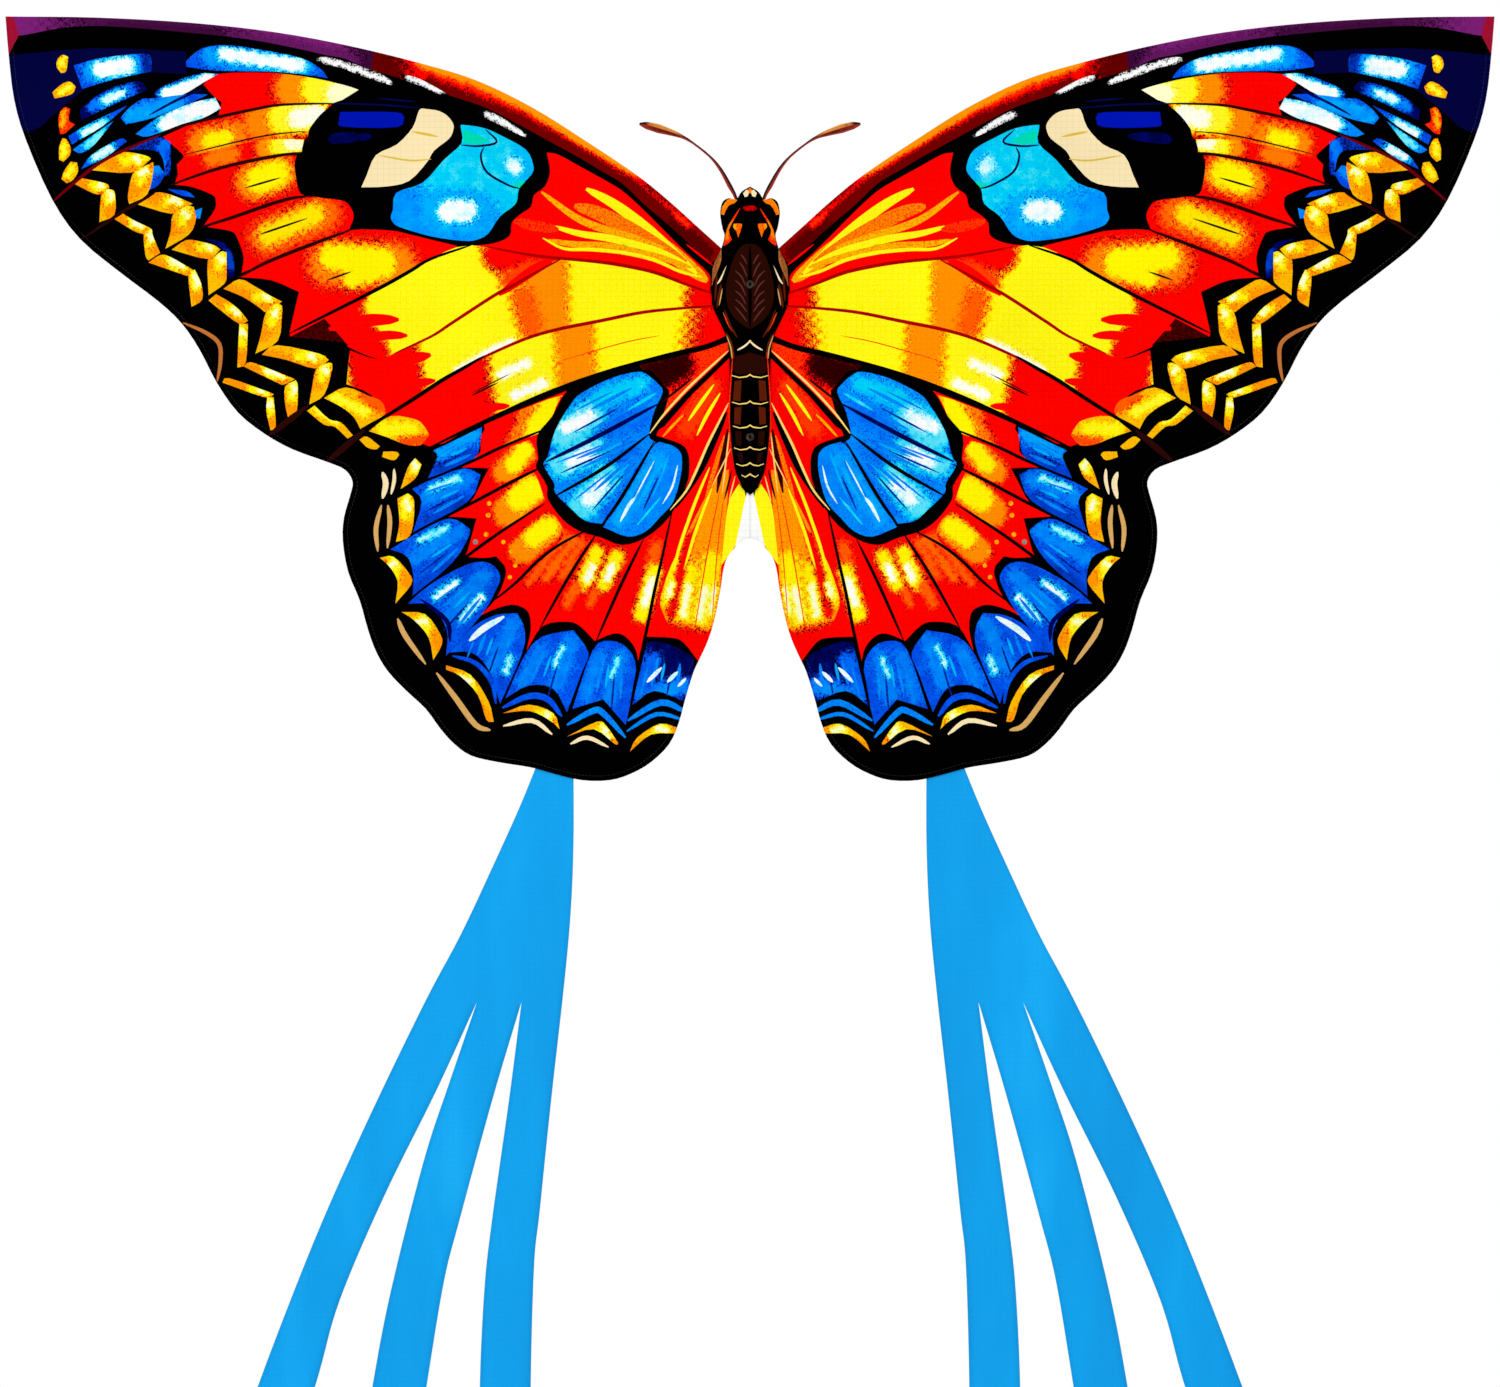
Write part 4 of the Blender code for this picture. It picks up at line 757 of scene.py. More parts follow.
# ---- printed cloth -------------------------------------------------------------------------------
def printed_mesh(outline, layers, spacing):
    """A flat triangle mesh with the print's values at its corners.

    layers are (paint, loop, lights), laid down in order on black. The paint "hole" cuts a hole."""
    edge = np.array([tuple(p) for p in outline])
    low, high = edge.min(0), edge.max(0)
    row_share = 0.866           # distance between rows of even-sided triangles
    xs = np.arange(low[0] + spacing / 2, high[0], spacing)
    zs = np.arange(low[1] + spacing / 2, high[1], spacing * row_share)
    grid = np.array([
        (x + (spacing / 2 if row % 2 else 0), z) for row, z in enumerate(zs) for x in xs
    ])
    points = [Vector(p) for p in grid[inside(outline, grid)]]
    edges = []
    for loop in [outline] + [loop for _, loop, _ in layers]:
        first = len(points)
        points += [Vector(p) for p in loop]
        edges += [(first + i, first + (i + 1) % len(loop)) for i in range(len(loop))]
    verts, _, faces, *_ = delaunay_2d_cdt(points, edges, [], 0, 1e-4)
    co = np.array([tuple(v) for v in verts])
    tris = np.array([f for f in faces if len(f) == 3])
    middle = co[tris].mean(1)
    keep = inside(outline, middle)
    tris, middle = tris[keep], middle[keep]
    layer = np.zeros(len(tris), int)
    for k, (_, loop, _) in enumerate(layers):
        layer[inside(loop, middle)] = k + 1
    names = ["black"] + [p for p, _, _ in layers]
    cloth = np.array([n != "hole" for n in names])[layer]
    tris, layer = tris[cloth], np.repeat(layer[cloth], 3)
    used, tris = np.unique(tris, return_inverse=True)
    tris = tris.reshape(-1, 3)
    co = co[used]
    at = co[tris.ravel()]
    tone, kind, grain, ink = (
        np.array(column)[layer] for column in zip(*(paint_values(n) for n in names))
    )
    for k, (_, _, lights) in enumerate(layers):
        if lights:
            here = layer == k + 1
            tone[here], grain[here] = lit(at[here], tone[here], grain[here], lights)
    return co, tris, tone, kind, grain, ink


def printed_object(name, made, place):
    """An object from printed_mesh. place turns (x, z) in millimetres into a point in metres."""
    co, tris, tone, kind, grain, ink = made
    mesh = bpy.data.meshes.new(name)
    mesh.from_pydata([place(x, z) for x, z in co], [], tris.tolist())
    for label, values in (("tone", tone), ("kind", kind), ("grain", grain)):
        mesh.attributes.new(label, "FLOAT", "CORNER").data.foreach_set("value", values)
    mesh.attributes.new("ink", "FLOAT_COLOR", "CORNER").data.foreach_set("color", ink.ravel())
    obj = bpy.data.objects.new(name, mesh)
    bpy.context.scene.collection.objects.link(obj)
    return obj


# ---- materials -----------------------------------------------------------------------------------
class Nodes:
    """A new material's node tree, with short calls to add to it and link it."""

    def __init__(self, name):
        self.material = bpy.data.materials.new(name)
        self.material.use_nodes = True
        self.tree = self.material.node_tree
        self.shader = self.tree.nodes["Principled BSDF"]

    def add(self, kind, **values):
        """A new node. The values are its properties or, by name, its inputs."""
        node = self.tree.nodes.new(kind)
        for key, value in values.items():
            if hasattr(node, key):
                setattr(node, key, value)
            else:
                node.inputs[key.replace("_", " ")].default_value = value
        return node

    def link(self, source, target):
        self.tree.links.new(source, target)

    def math(self, operation, a, b):
        """The result of a math node on two numbers or outputs."""
        node = self.add("ShaderNodeMath", operation=operation)
        for socket, value in zip(node.inputs, (a, b)):
            if isinstance(value, (int, float)):
                socket.default_value = value
            else:
                self.link(value, socket)
        return node.outputs[0]

    def noise(self, scale, detail=2.0, stretch=(1, 1, 1)):
        """Noise in the object's own space, in features per metre."""
        where = self.add("ShaderNodeTexCoord").outputs["Object"]
        mapping = self.add("ShaderNodeMapping")
        mapping.inputs["Scale"].default_value = stretch
        self.link(where, mapping.inputs["Vector"])
        node = self.add("ShaderNodeTexNoise")
        node.inputs["Scale"].default_value = scale
        node.inputs["Detail"].default_value = detail
        self.link(mapping.outputs["Vector"], node.inputs["Vector"])
        return node.outputs["Fac"]

    def ramp(self, factor, stops):
        """A colour ramp with stops of (position, sRGB code)."""
        node = self.add("ShaderNodeValToRGB")
        elements = node.color_ramp.elements
        while len(elements) > 1:
            elements.remove(elements[-1])
        elements[0].position = stops[0][0]
        elements[0].color = linear(stops[0][1])
        for position, code in stops[1:]:
            elements.new(position).color = linear(code)
        self.link(factor, node.inputs["Fac"])
        return node.outputs["Color"]

    def attribute(self, name, output="Fac"):
        return self.add("ShaderNodeAttribute", attribute_name=name).outputs[output]

    def mix(self, factor, a, b, blend="MIX"):
        """A mix of two colours, each a value or an output."""
        node = self.add("ShaderNodeMix", data_type="RGBA", blend_type=blend)
        for socket, value in ((node.inputs[0], factor), (node.inputs[6], a), (node.inputs[7], b)):
            if isinstance(value, (int, float, tuple)):
                socket.default_value = value
            else:
                self.link(value, socket)
        return node.outputs[2]

    def threads(self, pitch, axis):
        """A wave of fine threads: 0 between two threads and 1 on a thread.

        MULTIPLY_ADD adds its third input, which starts at 0.5."""
        where = self.add("ShaderNodeSeparateXYZ")
        self.link(self.add("ShaderNodeTexCoord").outputs["Object"], where.inputs[0])
        turned = self.math("MULTIPLY", where.outputs[axis], 2 * math.pi / pitch)
        wave = self.math("SINE", turned, 0)
        return self.math("MULTIPLY_ADD", wave, 0.5)

    def bump(self, height, distance, strength=0.5):
        """Raises the surface by a height from 0 to 1 times the distance."""
        node = self.add("ShaderNodeBump")
        node.inputs["Strength"].default_value = strength
        node.inputs["Distance"].default_value = distance
        self.link(height, node.inputs["Height"])
        self.link(node.outputs["Normal"], self.shader.inputs["Normal"])

    def set(self, **values):
        for key, value in values.items():
            self.shader.inputs[key.replace("_", " ")].default_value = value

    def colour(self, output):
        self.link(output, self.shader.inputs["Base Color"])

    def rough(self, factor, low, high):
        """Roughness between two values, as a factor goes from 0 to 1."""
        node = self.add("ShaderNodeMapRange")
        node.inputs["To Min"].default_value = low
        node.inputs["To Max"].default_value = high
        self.link(factor, node.inputs["Value"])
        self.link(node.outputs["Result"], self.shader.inputs["Roughness"])


def ripstop_height(n, weave, grid):
    """Plain weave, with the thicker threads of a ripstop grid standing proud of it."""
    fine = n.math("MULTIPLY", n.threads(weave, 0), n.threads(weave, 2))
    bars = [n.math("GREATER_THAN", n.threads(grid, axis), 0.985) for axis in (0, 2)]
    bar = n.math("MAXIMUM", *bars)
    return bar, n.math("ADD", n.math("MULTIPLY", fine, 0.4), bar)


def print_material(name, roughness, relief):
    """Printed nylon: ramps driven by the print's tone, with sprayed speckle and flat inks."""
    n = Nodes(name)
    speckle = n.noise(620, 2.0)
    spots = n.math("MULTIPLY", n.math("MAXIMUM", n.math("SUBTRACT", speckle, 0.47), 0.0), 7.0)
    tone = n.math("SUBTRACT", n.attribute("tone"), n.math("MULTIPLY", spots, n.attribute("grain")))
    warm = n.ramp(tone, WARM_RAMP)
    streak = n.math("MULTIPLY", n.math("SUBTRACT", n.noise(85, 3), 0.5), 0.24)
    cool = n.ramp(n.math("ADD", tone, streak), COOL_RAMP)
    kind = n.attribute("kind")
    colour = n.mix(n.math("GREATER_THAN", kind, 0.5), warm, cool)
    toned = n.mix(n.math("SUBTRACT", 1.0, tone), n.attribute("ink", "Color"), (0, 0, 0, 1))
    colour = n.mix(n.math("GREATER_THAN", kind, 1.5), colour, toned)
    grey = n.ramp(tone, [(0.35, "050505"), (0.95, "ffffff")])
    colour = n.mix(n.math("GREATER_THAN", kind, 2.5), colour, grey)
    wash = n.ramp(n.noise(9, 3), [(0.3, "f2f2f2"), (0.7, "ffffff")])
    colour = n.mix(1.0, colour, wash, "MULTIPLY")
    bar, height = ripstop_height(n, 0.0009, 0.0055)
    colour = n.mix(n.math("MULTIPLY", bar, 0.10), colour, (0.0, 0.0, 0.0, 1))
    n.colour(colour)
    n.rough(n.noise(60), *roughness)
    n.bump(height, relief, 0.35)
    n.set(Specular_IOR_Level=0.0)
    return n.material


def cloth_material(name, low, high, pitch=0.0011, sheen=0.03):
    """Plain woven cloth in one dyed colour, with a little variation in the dye and a painted highlight on
    the crests of its threads.
    """
    n = Nodes(name)
    shade = n.ramp(n.noise(14, 4), [(0.30, low), (0.70, high)])
    weave = n.math("MULTIPLY", n.threads(pitch, 0), n.threads(pitch, 2))
    # painted highlight: the crests of the threads are painted a little paler, towards the lighter colour
    painted_thread_highlight = n.mix(n.math("MULTIPLY", weave, 0.18), shade, linear(high))
    n.colour(painted_thread_highlight)
    n.rough(n.noise(45), 0.62, 0.85)
    n.bump(n.math("ADD", weave, n.noise(900)), 0.00015, 0.5)
    n.set(Sheen_Weight=sheen, Sheen_Roughness=0.5, Specular_IOR_Level=0.15)
    return n.material


def ribbon_material():
    """Ripstop streamers: bright blue, with painted light and shade in long soft streaks like folds."""
    n = Nodes("tail_ribbon_cloth")
    # painted light and shade: long soft streaks, a little darker and paler than the blue, as if light fell
    # on folds
    painted_fold_light = n.noise(2.2, 3, (6, 1, 1.5))
    shade = n.ramp(painted_fold_light, [(0.30, "0097e2"), (0.55, "00a1ec"), (0.72, "10adf6")])
    bar, height = ripstop_height(n, 0.0009, 0.0055)
    n.colour(n.mix(n.math("MULTIPLY", bar, 0.12), shade, (0.0, 0.22, 0.60, 1)))
    n.rough(n.noise(40), 0.45, 0.62)
    n.bump(height, 0.00010, 0.35)
    n.set(Sheen_Weight=0.01, Sheen_Roughness=0.4, Specular_IOR_Level=0.10)
    return n.material


def rod_material():
    """Pultruded fibreglass: dark, with fine streaks along the rod and a thin clear skin."""
    n = Nodes("fibreglass_rod")
    streak = n.noise(420, 3)
    n.colour(n.ramp(streak, [(0.25, "0b0b0c"), (0.60, "1d1d20"), (0.85, "34343a")]))
    n.rough(n.noise(130), 0.28, 0.46)
    n.bump(streak, 0.00010, 0.25)
    n.set(Coat_Weight=0.4, Coat_Roughness=0.25)
    return n.material


def moulded_material(name, low, high, rough, relief=0.0002):
    """Moulded plastic: a fine eroded texture, with cloudy paler patches."""
    n = Nodes(name)
    grain = n.noise(750, 4)
    n.colour(n.mix(n.noise(35, 3), linear(low), linear(high)))
    n.rough(grain, *rough)
    n.bump(grain, relief, 0.3)
    n.set(Specular_IOR_Level=0.45)
    return n.material


def antenna_material():
    """Painted plastic: black over red on the stem, with an ochre stripe along the club."""
    n = Nodes("antenna_paint")
    where = n.add("ShaderNodeSeparateXYZ")
    n.link(n.add("ShaderNodeTexCoord").outputs["Object"], where.inputs[0])
    facing = n.add("ShaderNodeSeparateXYZ")
    n.link(n.add("ShaderNodeNewGeometry").outputs["Normal"], facing.inputs[0])
    outwards = n.math("MULTIPLY", facing.outputs[0], n.math("SIGN", where.outputs[0], 0))
    wobble = n.math("MULTIPLY", n.math("SUBTRACT", n.noise(160), 0.5), 0.2)
    rise = n.math("MULTIPLY", facing.outputs[2], 0.38)
    up = n.math("SUBTRACT", rise, n.math("MULTIPLY", outwards, 0.30))
    up = n.math("ADD", n.math("ADD", up, 0.5), wobble)
    stem = n.ramp(up, [(0.38, "9a2418"), (0.47, "6a0c06"), (0.53, "0a0202")])
    club = n.ramp(up, [(0.24, "a02818"), (0.36, "5a0c06"), (0.44, "0a0202"), (0.58, "140402"),
                       (0.66, "c87a30"), (0.80, "e09c48")])
    outwards_share = n.math("DIVIDE", n.math("ABSOLUTE", where.outputs[0], 0), 0.110)
    in_club = n.ramp(outwards_share, [
        (0.56, "000000"), (0.64, "ffffff"), (0.84, "ffffff"), (0.90, "000000"),
    ])
    n.colour(n.mix(in_club, stem, club))
    n.rough(n.noise(200), 0.38, 0.55)
    n.bump(n.noise(500, 3), 0.0001, 0.3)
    n.set(Specular_IOR_Level=0.08)
    return n.material


def metal_material():
    """Blackened brass, rubbed brighter in places."""
    n = Nodes("blackened_brass")
    wear = n.noise(320, 4)
    n.colour(n.ramp(wear, [(0.35, "2a2622"), (0.60, "463c30"), (0.80, "a08850")]))
    n.rough(n.noise(500), 0.30, 0.5)
    n.bump(wear, 0.0001, 0.25)
    n.set(Metallic=1.0)
    return n.material


# ---- making pieces -------------------------------------------------------------------------------
def finished(obj, material, slot, body, *nodes):
    """Gives a new piece its material and body, and hides the CAD nodes that it stands for. The slot is not
    used.
    """
    obj.data.materials.clear()
    obj.data.materials.append(material)
    if body:
        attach(obj, body)
    if nodes:
        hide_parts(*nodes)
    return obj


def from_bmesh(name, bm, smooth_angle=40):
    """A smoothly shaded object from a bmesh, with edges above the angle in degrees kept sharp."""
    bmesh.ops.recalc_face_normals(bm, faces=bm.faces[:])
    mesh = bpy.data.meshes.new(name)
    bm.to_mesh(mesh)
    bm.free()
    mesh.shade_smooth()
    mesh.set_sharp_from_angle(angle=math.radians(smooth_angle))
    obj = bpy.data.objects.new(name, mesh)
    bpy.context.scene.collection.objects.link(obj)
    return obj


def grid_object(name, rows):
    """A sheet through rows of points."""
    bm = bmesh.new()
    grid = [[bm.verts.new(p) for p in row] for row in rows]
    for above, below in zip(grid, grid[1:]):
        for a, b, c, d in zip(above, above[1:], below[1:], below):
            bm.faces.new((a, b, c, d))
    bmesh.ops.remove_doubles(bm, verts=bm.verts[:], dist=1e-6)
    return from_bmesh(name, bm, 60)


def thicken(obj, thickness, offset=0.0):
    """Gives a sheet its thickness: on both sides of it at offset 0, or on one side at 1 or -1."""
    wall = obj.modifiers.new("cloth", "SOLIDIFY")
    wall.thickness = thickness
    wall.offset = offset
    wall.use_even_offset = False


def resampled(curve, spacing):
    """Points along a curve at about that spacing."""
    lengths = [0.0]
    for a, b in zip(curve, curve[1:]):
        lengths.append(lengths[-1] + (b - a).length)
    count = max(2, round(lengths[-1] / spacing))
    points = []
    k = 0
    for i in range(count + 1):
        target = lengths[-1] * i / count
        while k < len(curve) - 2 and lengths[k + 1] < target:
            k += 1
        share = (target - lengths[k]) / max(lengths[k + 1] - lengths[k], 1e-12)
        points.append(curve[k].lerp(curve[k + 1], min(1.0, max(0.0, share))))
    return points


def stitches(name, lines, body, material, pitch=0.0036):
    """A row of stitches along each line: short threads that dip into the cloth at both ends."""
    radius = 0.00028
    bm = bmesh.new()
    for line in lines:
        points = resampled(line, pitch)
        for a, b in zip(points, points[1:]):
            start, end = a.lerp(b, 0.14), a.lerp(b, 0.86)
            side = (end - start).normalized().cross(BACK).normalized()
            rings = []
            for share, size, rise in ((0.18, 0.8, 0.5), (0.5, 1.0, 1.0), (0.82, 0.8, 0.5)):
                middle = start.lerp(end, share) + BACK * radius * rise
                rings.append([
                    bm.verts.new(middle + (side * math.cos(t) + BACK * math.sin(t)) * radius * size)
                    for t in circle(5)
                ])
            for low, high in zip(rings, rings[1:]):
                for i in range(5):
                    bm.faces.new((low[i], low[(i + 1) % 5], high[(i + 1) % 5], high[i]))
            for ring, tip in ((rings[0], start), (rings[-1], end)):
                point = bm.verts.new(tip)
                for i in range(5):
                    bm.faces.new((ring[i], ring[(i + 1) % 5], point))
    obj = from_bmesh(name, bm, 80)
    return finished(obj, material, "black_cloth", body)


def swept(name, path, section):
    """A sheet whose section of (across, back) runs along a path."""
    rows = []
    for i, p in enumerate(path):
        across = along(path, i).cross(BACK).normalized()
        rows.append([p + across * u + BACK * v for u, v in section])
    return grid_object(name, rows)


def omega(radius, foot, flange):
    """The section of cloth sewn down on both sides of a rod: flange, over the rod, and flange."""
    steps = 9
    start = math.asin(min(0.9, -foot / radius * 0.55))
    arc = [
        (-radius * math.cos(a) * 1.04, radius * math.sin(a))
        for a in (-start + (math.pi + 2 * start) * i / steps for i in range(steps + 1))
    ]
    reach = radius + flange
    return [(-reach, foot), (-radius * 1.25, foot)] + arc + [(radius * 1.25, foot), (reach, foot)]


# ---- the sails -----------------------------------------------------------------------------------
EDGE = smooth(LEADING_EDGE, 4)
MARGIN = smooth(WING_MARGIN, 3)

# Lines where rods or seams hold the cloth still.
HELD = [
    [(28, 59), (108, 128), (255, 215), (445, 261), (700, 276)], [(0, 60), (0, -215)],
    [(40, 0), (500, 0)], [(52, -46), (166, -396)], [(160, -425), (205, -425)],
]


def half_sail_outline():
    """One wing with its half of the strip behind the body."""
    return [Vector((0, 55)), Vector((24, 55))] + EDGE + MARGIN[1:] + smooth(NOTCH, 3)[1:]


def gold_mark(loop):
    """A gold mark of the margin, with a shine from its first two corners to its middle."""
    first, second = [Vector(p) for p in loop[:2]]
    middle = sum((Vector(p) for p in loop), Vector((0, 0))) / len(loop)
    shine = [(0.62, 2, 5, [loop[-1], loop[len(loop) // 2]]), (0.84, 2, 5, [second, middle]),
             (0.98, 1.2, 4, [first.lerp(middle, 0.5), second.lerp(middle, 0.4)])]
    return "gilt", smooth_loop(loop), shine


def filled(areas, steps=3):
    """Print layers from a list of areas, with smooth outlines."""
    return [(paint, smooth_loop(loop, steps), lights) for paint, loop, lights in areas]


def stroked(strokes):
    """Print layers from a list of strokes."""
    return [(paint, stroke(width, line), []) for paint, width, line in strokes]


def eyelet_holes():
    """The holes that the bridle's eyelets sit in."""
    return [("hole", disc((0, z), EYELET_HOLE), []) for z in EYELETS]


def sail_layers():
    """Every area, band, stroke and spot of the print, in the order it is laid down."""
    layers = filled(HINDWING + FOREWING + EDGE_BANDS)
    for corners in BLUE_CELLS:
        layers += streaks(corners)
    layers += [gold_mark(loop) for loop in CHEVRONS + CRESCENTS]
    layers += filled(FRINGE)
    layers += stroked(FOREWING_STROKES + HINDWING_STROKES)
    layers += [(paint, disc(at, radius), []) for paint, radius, at in SPOTS]
    layers.append(("chalk", [Vector(p) for p in PALE_NOTCH], []))
    return layers + eyelet_holes()


def closest(p, a, b):
    """The point nearest to p on the straight line from a to b."""
    t = (p - a).dot(b - a) / (b - a).length_squared
    return a + (b - a) * min(1.0, max(0.0, t))


def sail_depth(x, z):
    """How far the cloth stands back at a point in millimetres: it flutters away from the spars."""
    near = min(
        (Vector((x, z)) - closest(Vector((x, z)), Vector(a), Vector(b))).length
        for line in HELD for a, b in zip(line, line[1:])
    )
    free = min(1.0, max(0.0, (near - 22) / 90))
    wave = math.sin(x / 31 + z / 47 + 0.6) + 0.6 * math.sin(x / 53 - z / 23)
    return 4.0 * free * free * (3 - 2 * free) * wave


def sail_piece(side, word, half_print, print_):
    """One half of the sail, whose cloth flutters back from the lines that hold it."""
    def place(x, z):
        return (x * MM * side, SAIL_MID + sail_depth(x, z) * MM, z * MM)

    sail = printed_object("sail_cloth_" + word, half_print, place)
    if side < 0:
        sail.data.flip_normals()
    sail.data.shade_smooth()
    thicken(sail, CLOTH)
    nodes = ["sail_" + word] + (["sail_centre"] if side > 0 else [])
    finished(sail, print_, "sail_print", None, *nodes)
    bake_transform(sail)
    return sail


def at_back(line, side, back):
    """A line in millimetres as points in metres, that far back from the middle of the cloth."""
    return [
        Vector((p.x * side * MM, SAIL_MID + (sail_depth(p.x, p.y) + back) * MM, p.y * MM))
        for p in line
    ]


def hem(side, word, cloth, thread):
    """The edge turned to the back and sewn down all round the trailing margin."""
    outer = [p for p in MARGIN[1:] if p.x > HEM_START]
    section = ((0.5, 0.30), (0.8, 0.62), (5.6, 0.62), (6.0, 0.36))
    rows = [
        [at_back([inset_point(outer, i, inset)], side, back)[0] for inset, back in section]
        for i in range(len(outer))
    ]
    strip = grid_object("hem_" + word, rows)
    thicken(strip, HEM)
    wing = "wing_" + word
    finished(strip, cloth, "sail_print", wing)
    seam = [inset_point(outer, i, 4.6) for i in range(len(outer))]
    rows_of_thread = [at_back(seam, side, back) for back in (-0.30, 0.85)]
    sewn = stitches("hem_stitches_" + word, rows_of_thread, wing, thread)
    return [strip, sewn]


# ---- the body ------------------------------------------------------------------------------------
def segment_line(z, reach):
    """The right half of the gold line at the head of a body segment, with a peak in the middle."""
    return [Vector(p) for p in (
        (0, z + 2.9), (3, z + 0.9), (reach * 0.6, z - 0.1), (reach, z + 1.7),
        (reach, z + 0.9), (reach * 0.6, z - 1.1), (3, z - 0.4), (0, z + 1.4),
    )]


def body_panel(print_):
    """The stiff printed panel on the front, crowned towards its edges, with two eyelet holes."""
    half = smooth(BODY, 4)
    outline = half + [Vector((-p.x, p.y)) for p in reversed(half[1:-1])]
    layers = []
    for side in (1, -1):
        both = filled(BODY_PRINT, 2) + stroked(BODY_STROKES)
        both += [("straw", segment_line(z, reach), []) for z, reach in BODY_BANDS]
        layers += [
            (paint, [Vector((p.x * side, p.y)) for p in loop],
             [(tone, core, soft, [(x * side, z) for x, z in line])
              for tone, core, soft, line in lights])
            for paint, loop, lights in both
        ]
    layers.append(("black", stroke(3.5, [(0, 60), (0, 20), (0, -17)]), []))
    layers += eyelet_holes()
    made = printed_mesh(outline, layers, 2.2)
    edge = [(p.x, p.y) for p in outline] + [(outline[0].x, outline[0].y)]

    def place(x, z):
        inset = line_distance(np.array([[x, z]]), edge)[0]
        rounding = max(0.0, 1 - inset / PANEL_RIM)
        return (x * MM, PANEL_FRONT + PANEL_CROWN * rounding ** 2, z * MM)

    panel = printed_object("printed_body_panel", made, place)
    panel.data.shade_smooth()
    thicken(panel, PANEL, -1.0)
    finished(panel, print_, "body_print", "spine", "body_panel")
    return panel


# ---- the streamers -------------------------------------------------------------------------------
def at_height(curve, z):
    """The curve's x where it passes height z. The curve runs downwards."""
    for a, b in zip(curve, curve[1:]):
        if b.y <= z:
            share = (z - a.y) / min(b.y - a.y, -1e-12)
            return a.x + (b.x - a.x) * min(1.0, max(0.0, share))
    return curve[-1].x


def tail_depth(z, strip):
    """Where the middle of the tail's cloth lies at height z: a ripple that grows downwards."""
    s = (TAIL_TOP - z) / (TAIL_TOP - TAIL_BOTTOM)
    grown = s * s * (3 - 2 * s)
    turns = TAIL_RIPPLES * s + STRIP_LAG * strip * max(0.0, SLIT_TOP - z)
    return TAIL_MID + TAIL_DRIFT * s ** 2 + TAIL_WAVE * grown * math.sin(2 * math.pi * turns)


def strip_sides(edges, strip, z):
    """The x of both sides of one strip at height z. Above the slits, the trunk is shared out."""
    if z < SLIT_TOP:
        return at_height(edges[2 * strip], z), at_height(edges[2 * strip + 1], z)
    outer, inner = at_height(edges[0], z), at_height(edges[5], z)
    marks = [at_height(edges[k], SLIT_TOP) for k in (0, 1, 3, 5)]
    shares = [(m - marks[0]) / (marks[3] - marks[0]) for m in marks]
    return outer + (inner - outer) * shares[strip], outer + (inner - outer) * shares[strip + 1]


def tail_piece(side, word, cloth):
    """A trunk that divides into three strips, whose free edges curl a little."""
    edges = [[p * MM for p in smooth(e, 6)] for e in TAIL_EDGES]
    rows_down = 96
    across = 6
    curl_height = 0.0035
    heights = [TAIL_TOP + (TAIL_BOTTOM - TAIL_TOP) * i / rows_down for i in range(rows_down + 1)]
    heights = sorted(heights + [SLIT_TOP], reverse=True)
    bm = bmesh.new()
    for strip in range(3):
        grid = []
        for z in heights:
            x0, x1 = strip_sides(edges, strip, z)
            below = max(0.0, SLIT_TOP - z)
            curl = curl_height * min(1.0, below / 0.25)
            y = tail_depth(z, strip)
            row = []
            for k in range(across + 1):
                t = k / across
                bow = curl * (4 * (t - 0.5) ** 2 - 0.33) * math.sin(z * 9 + strip * 1.7)
                row.append(bm.verts.new(((x0 + (x1 - x0) * t) * side, y + bow, z)))
            grid.append(row)
        for upper, lower in zip(grid, grid[1:]):
            for a, b, c, d in zip(upper, upper[1:], lower[1:], lower):
                bm.faces.new((a, b, c, d))
    bmesh.ops.remove_doubles(bm, verts=bm.verts[:], dist=2e-5)
    tail = from_bmesh("streamer_" + word, bm, 60)
    thicken(tail, CLOTH)
    finished(tail, cloth, "tail_ribbon", "tail_" + word, "tail_" + word)
    return tail


# ---- sewn details at the back --------------------------------------------------------------------
def patch(name, outline, front, body, thread, node, material, slot="black_cloth"):
    """A rounded patch sewn down all round. The outline is in metres."""
    back = front + PATCH_THICKNESS
    middle = sum(outline, Vector((0, 0))) / len(outline)
    bm = bmesh.new()
    bm.faces.new([bm.verts.new((p.x, back, p.y)) for p in outline])
    bmesh.ops.bevel(
        bm, geom=bm.verts[:], offset=2.2 * MM, segments=3, affect="VERTICES", profile=0.5
    )
    shape = [Vector((v.co.x, v.co.z)) for v in bm.faces[:][0].verts]
    grown = bmesh.ops.extrude_face_region(bm, geom=bm.faces[:])
    moved = [v for v in grown["geom"] if isinstance(v, bmesh.types.BMVert)]
    bmesh.ops.translate(bm, verts=moved, vec=(0, -PATCH_THICKNESS, 0))
    obj = from_bmesh(name, bm)
    soft = obj.modifiers.new("edge", "BEVEL")
    soft.width = PATCH_THICKNESS * 0.4
    soft.segments = 2
    finished(obj, material, slot, body, node)
    inwards = (p + (middle - p).normalized() * PATCH_SEAM * MM for p in shape + shape[:1])
    ring = [Vector((p.x, back, p.y)) for p in inwards]
    sewn = stitches(name + "_stitches", [ring], body, thread, pitch=0.0030)
    return [obj, sewn]


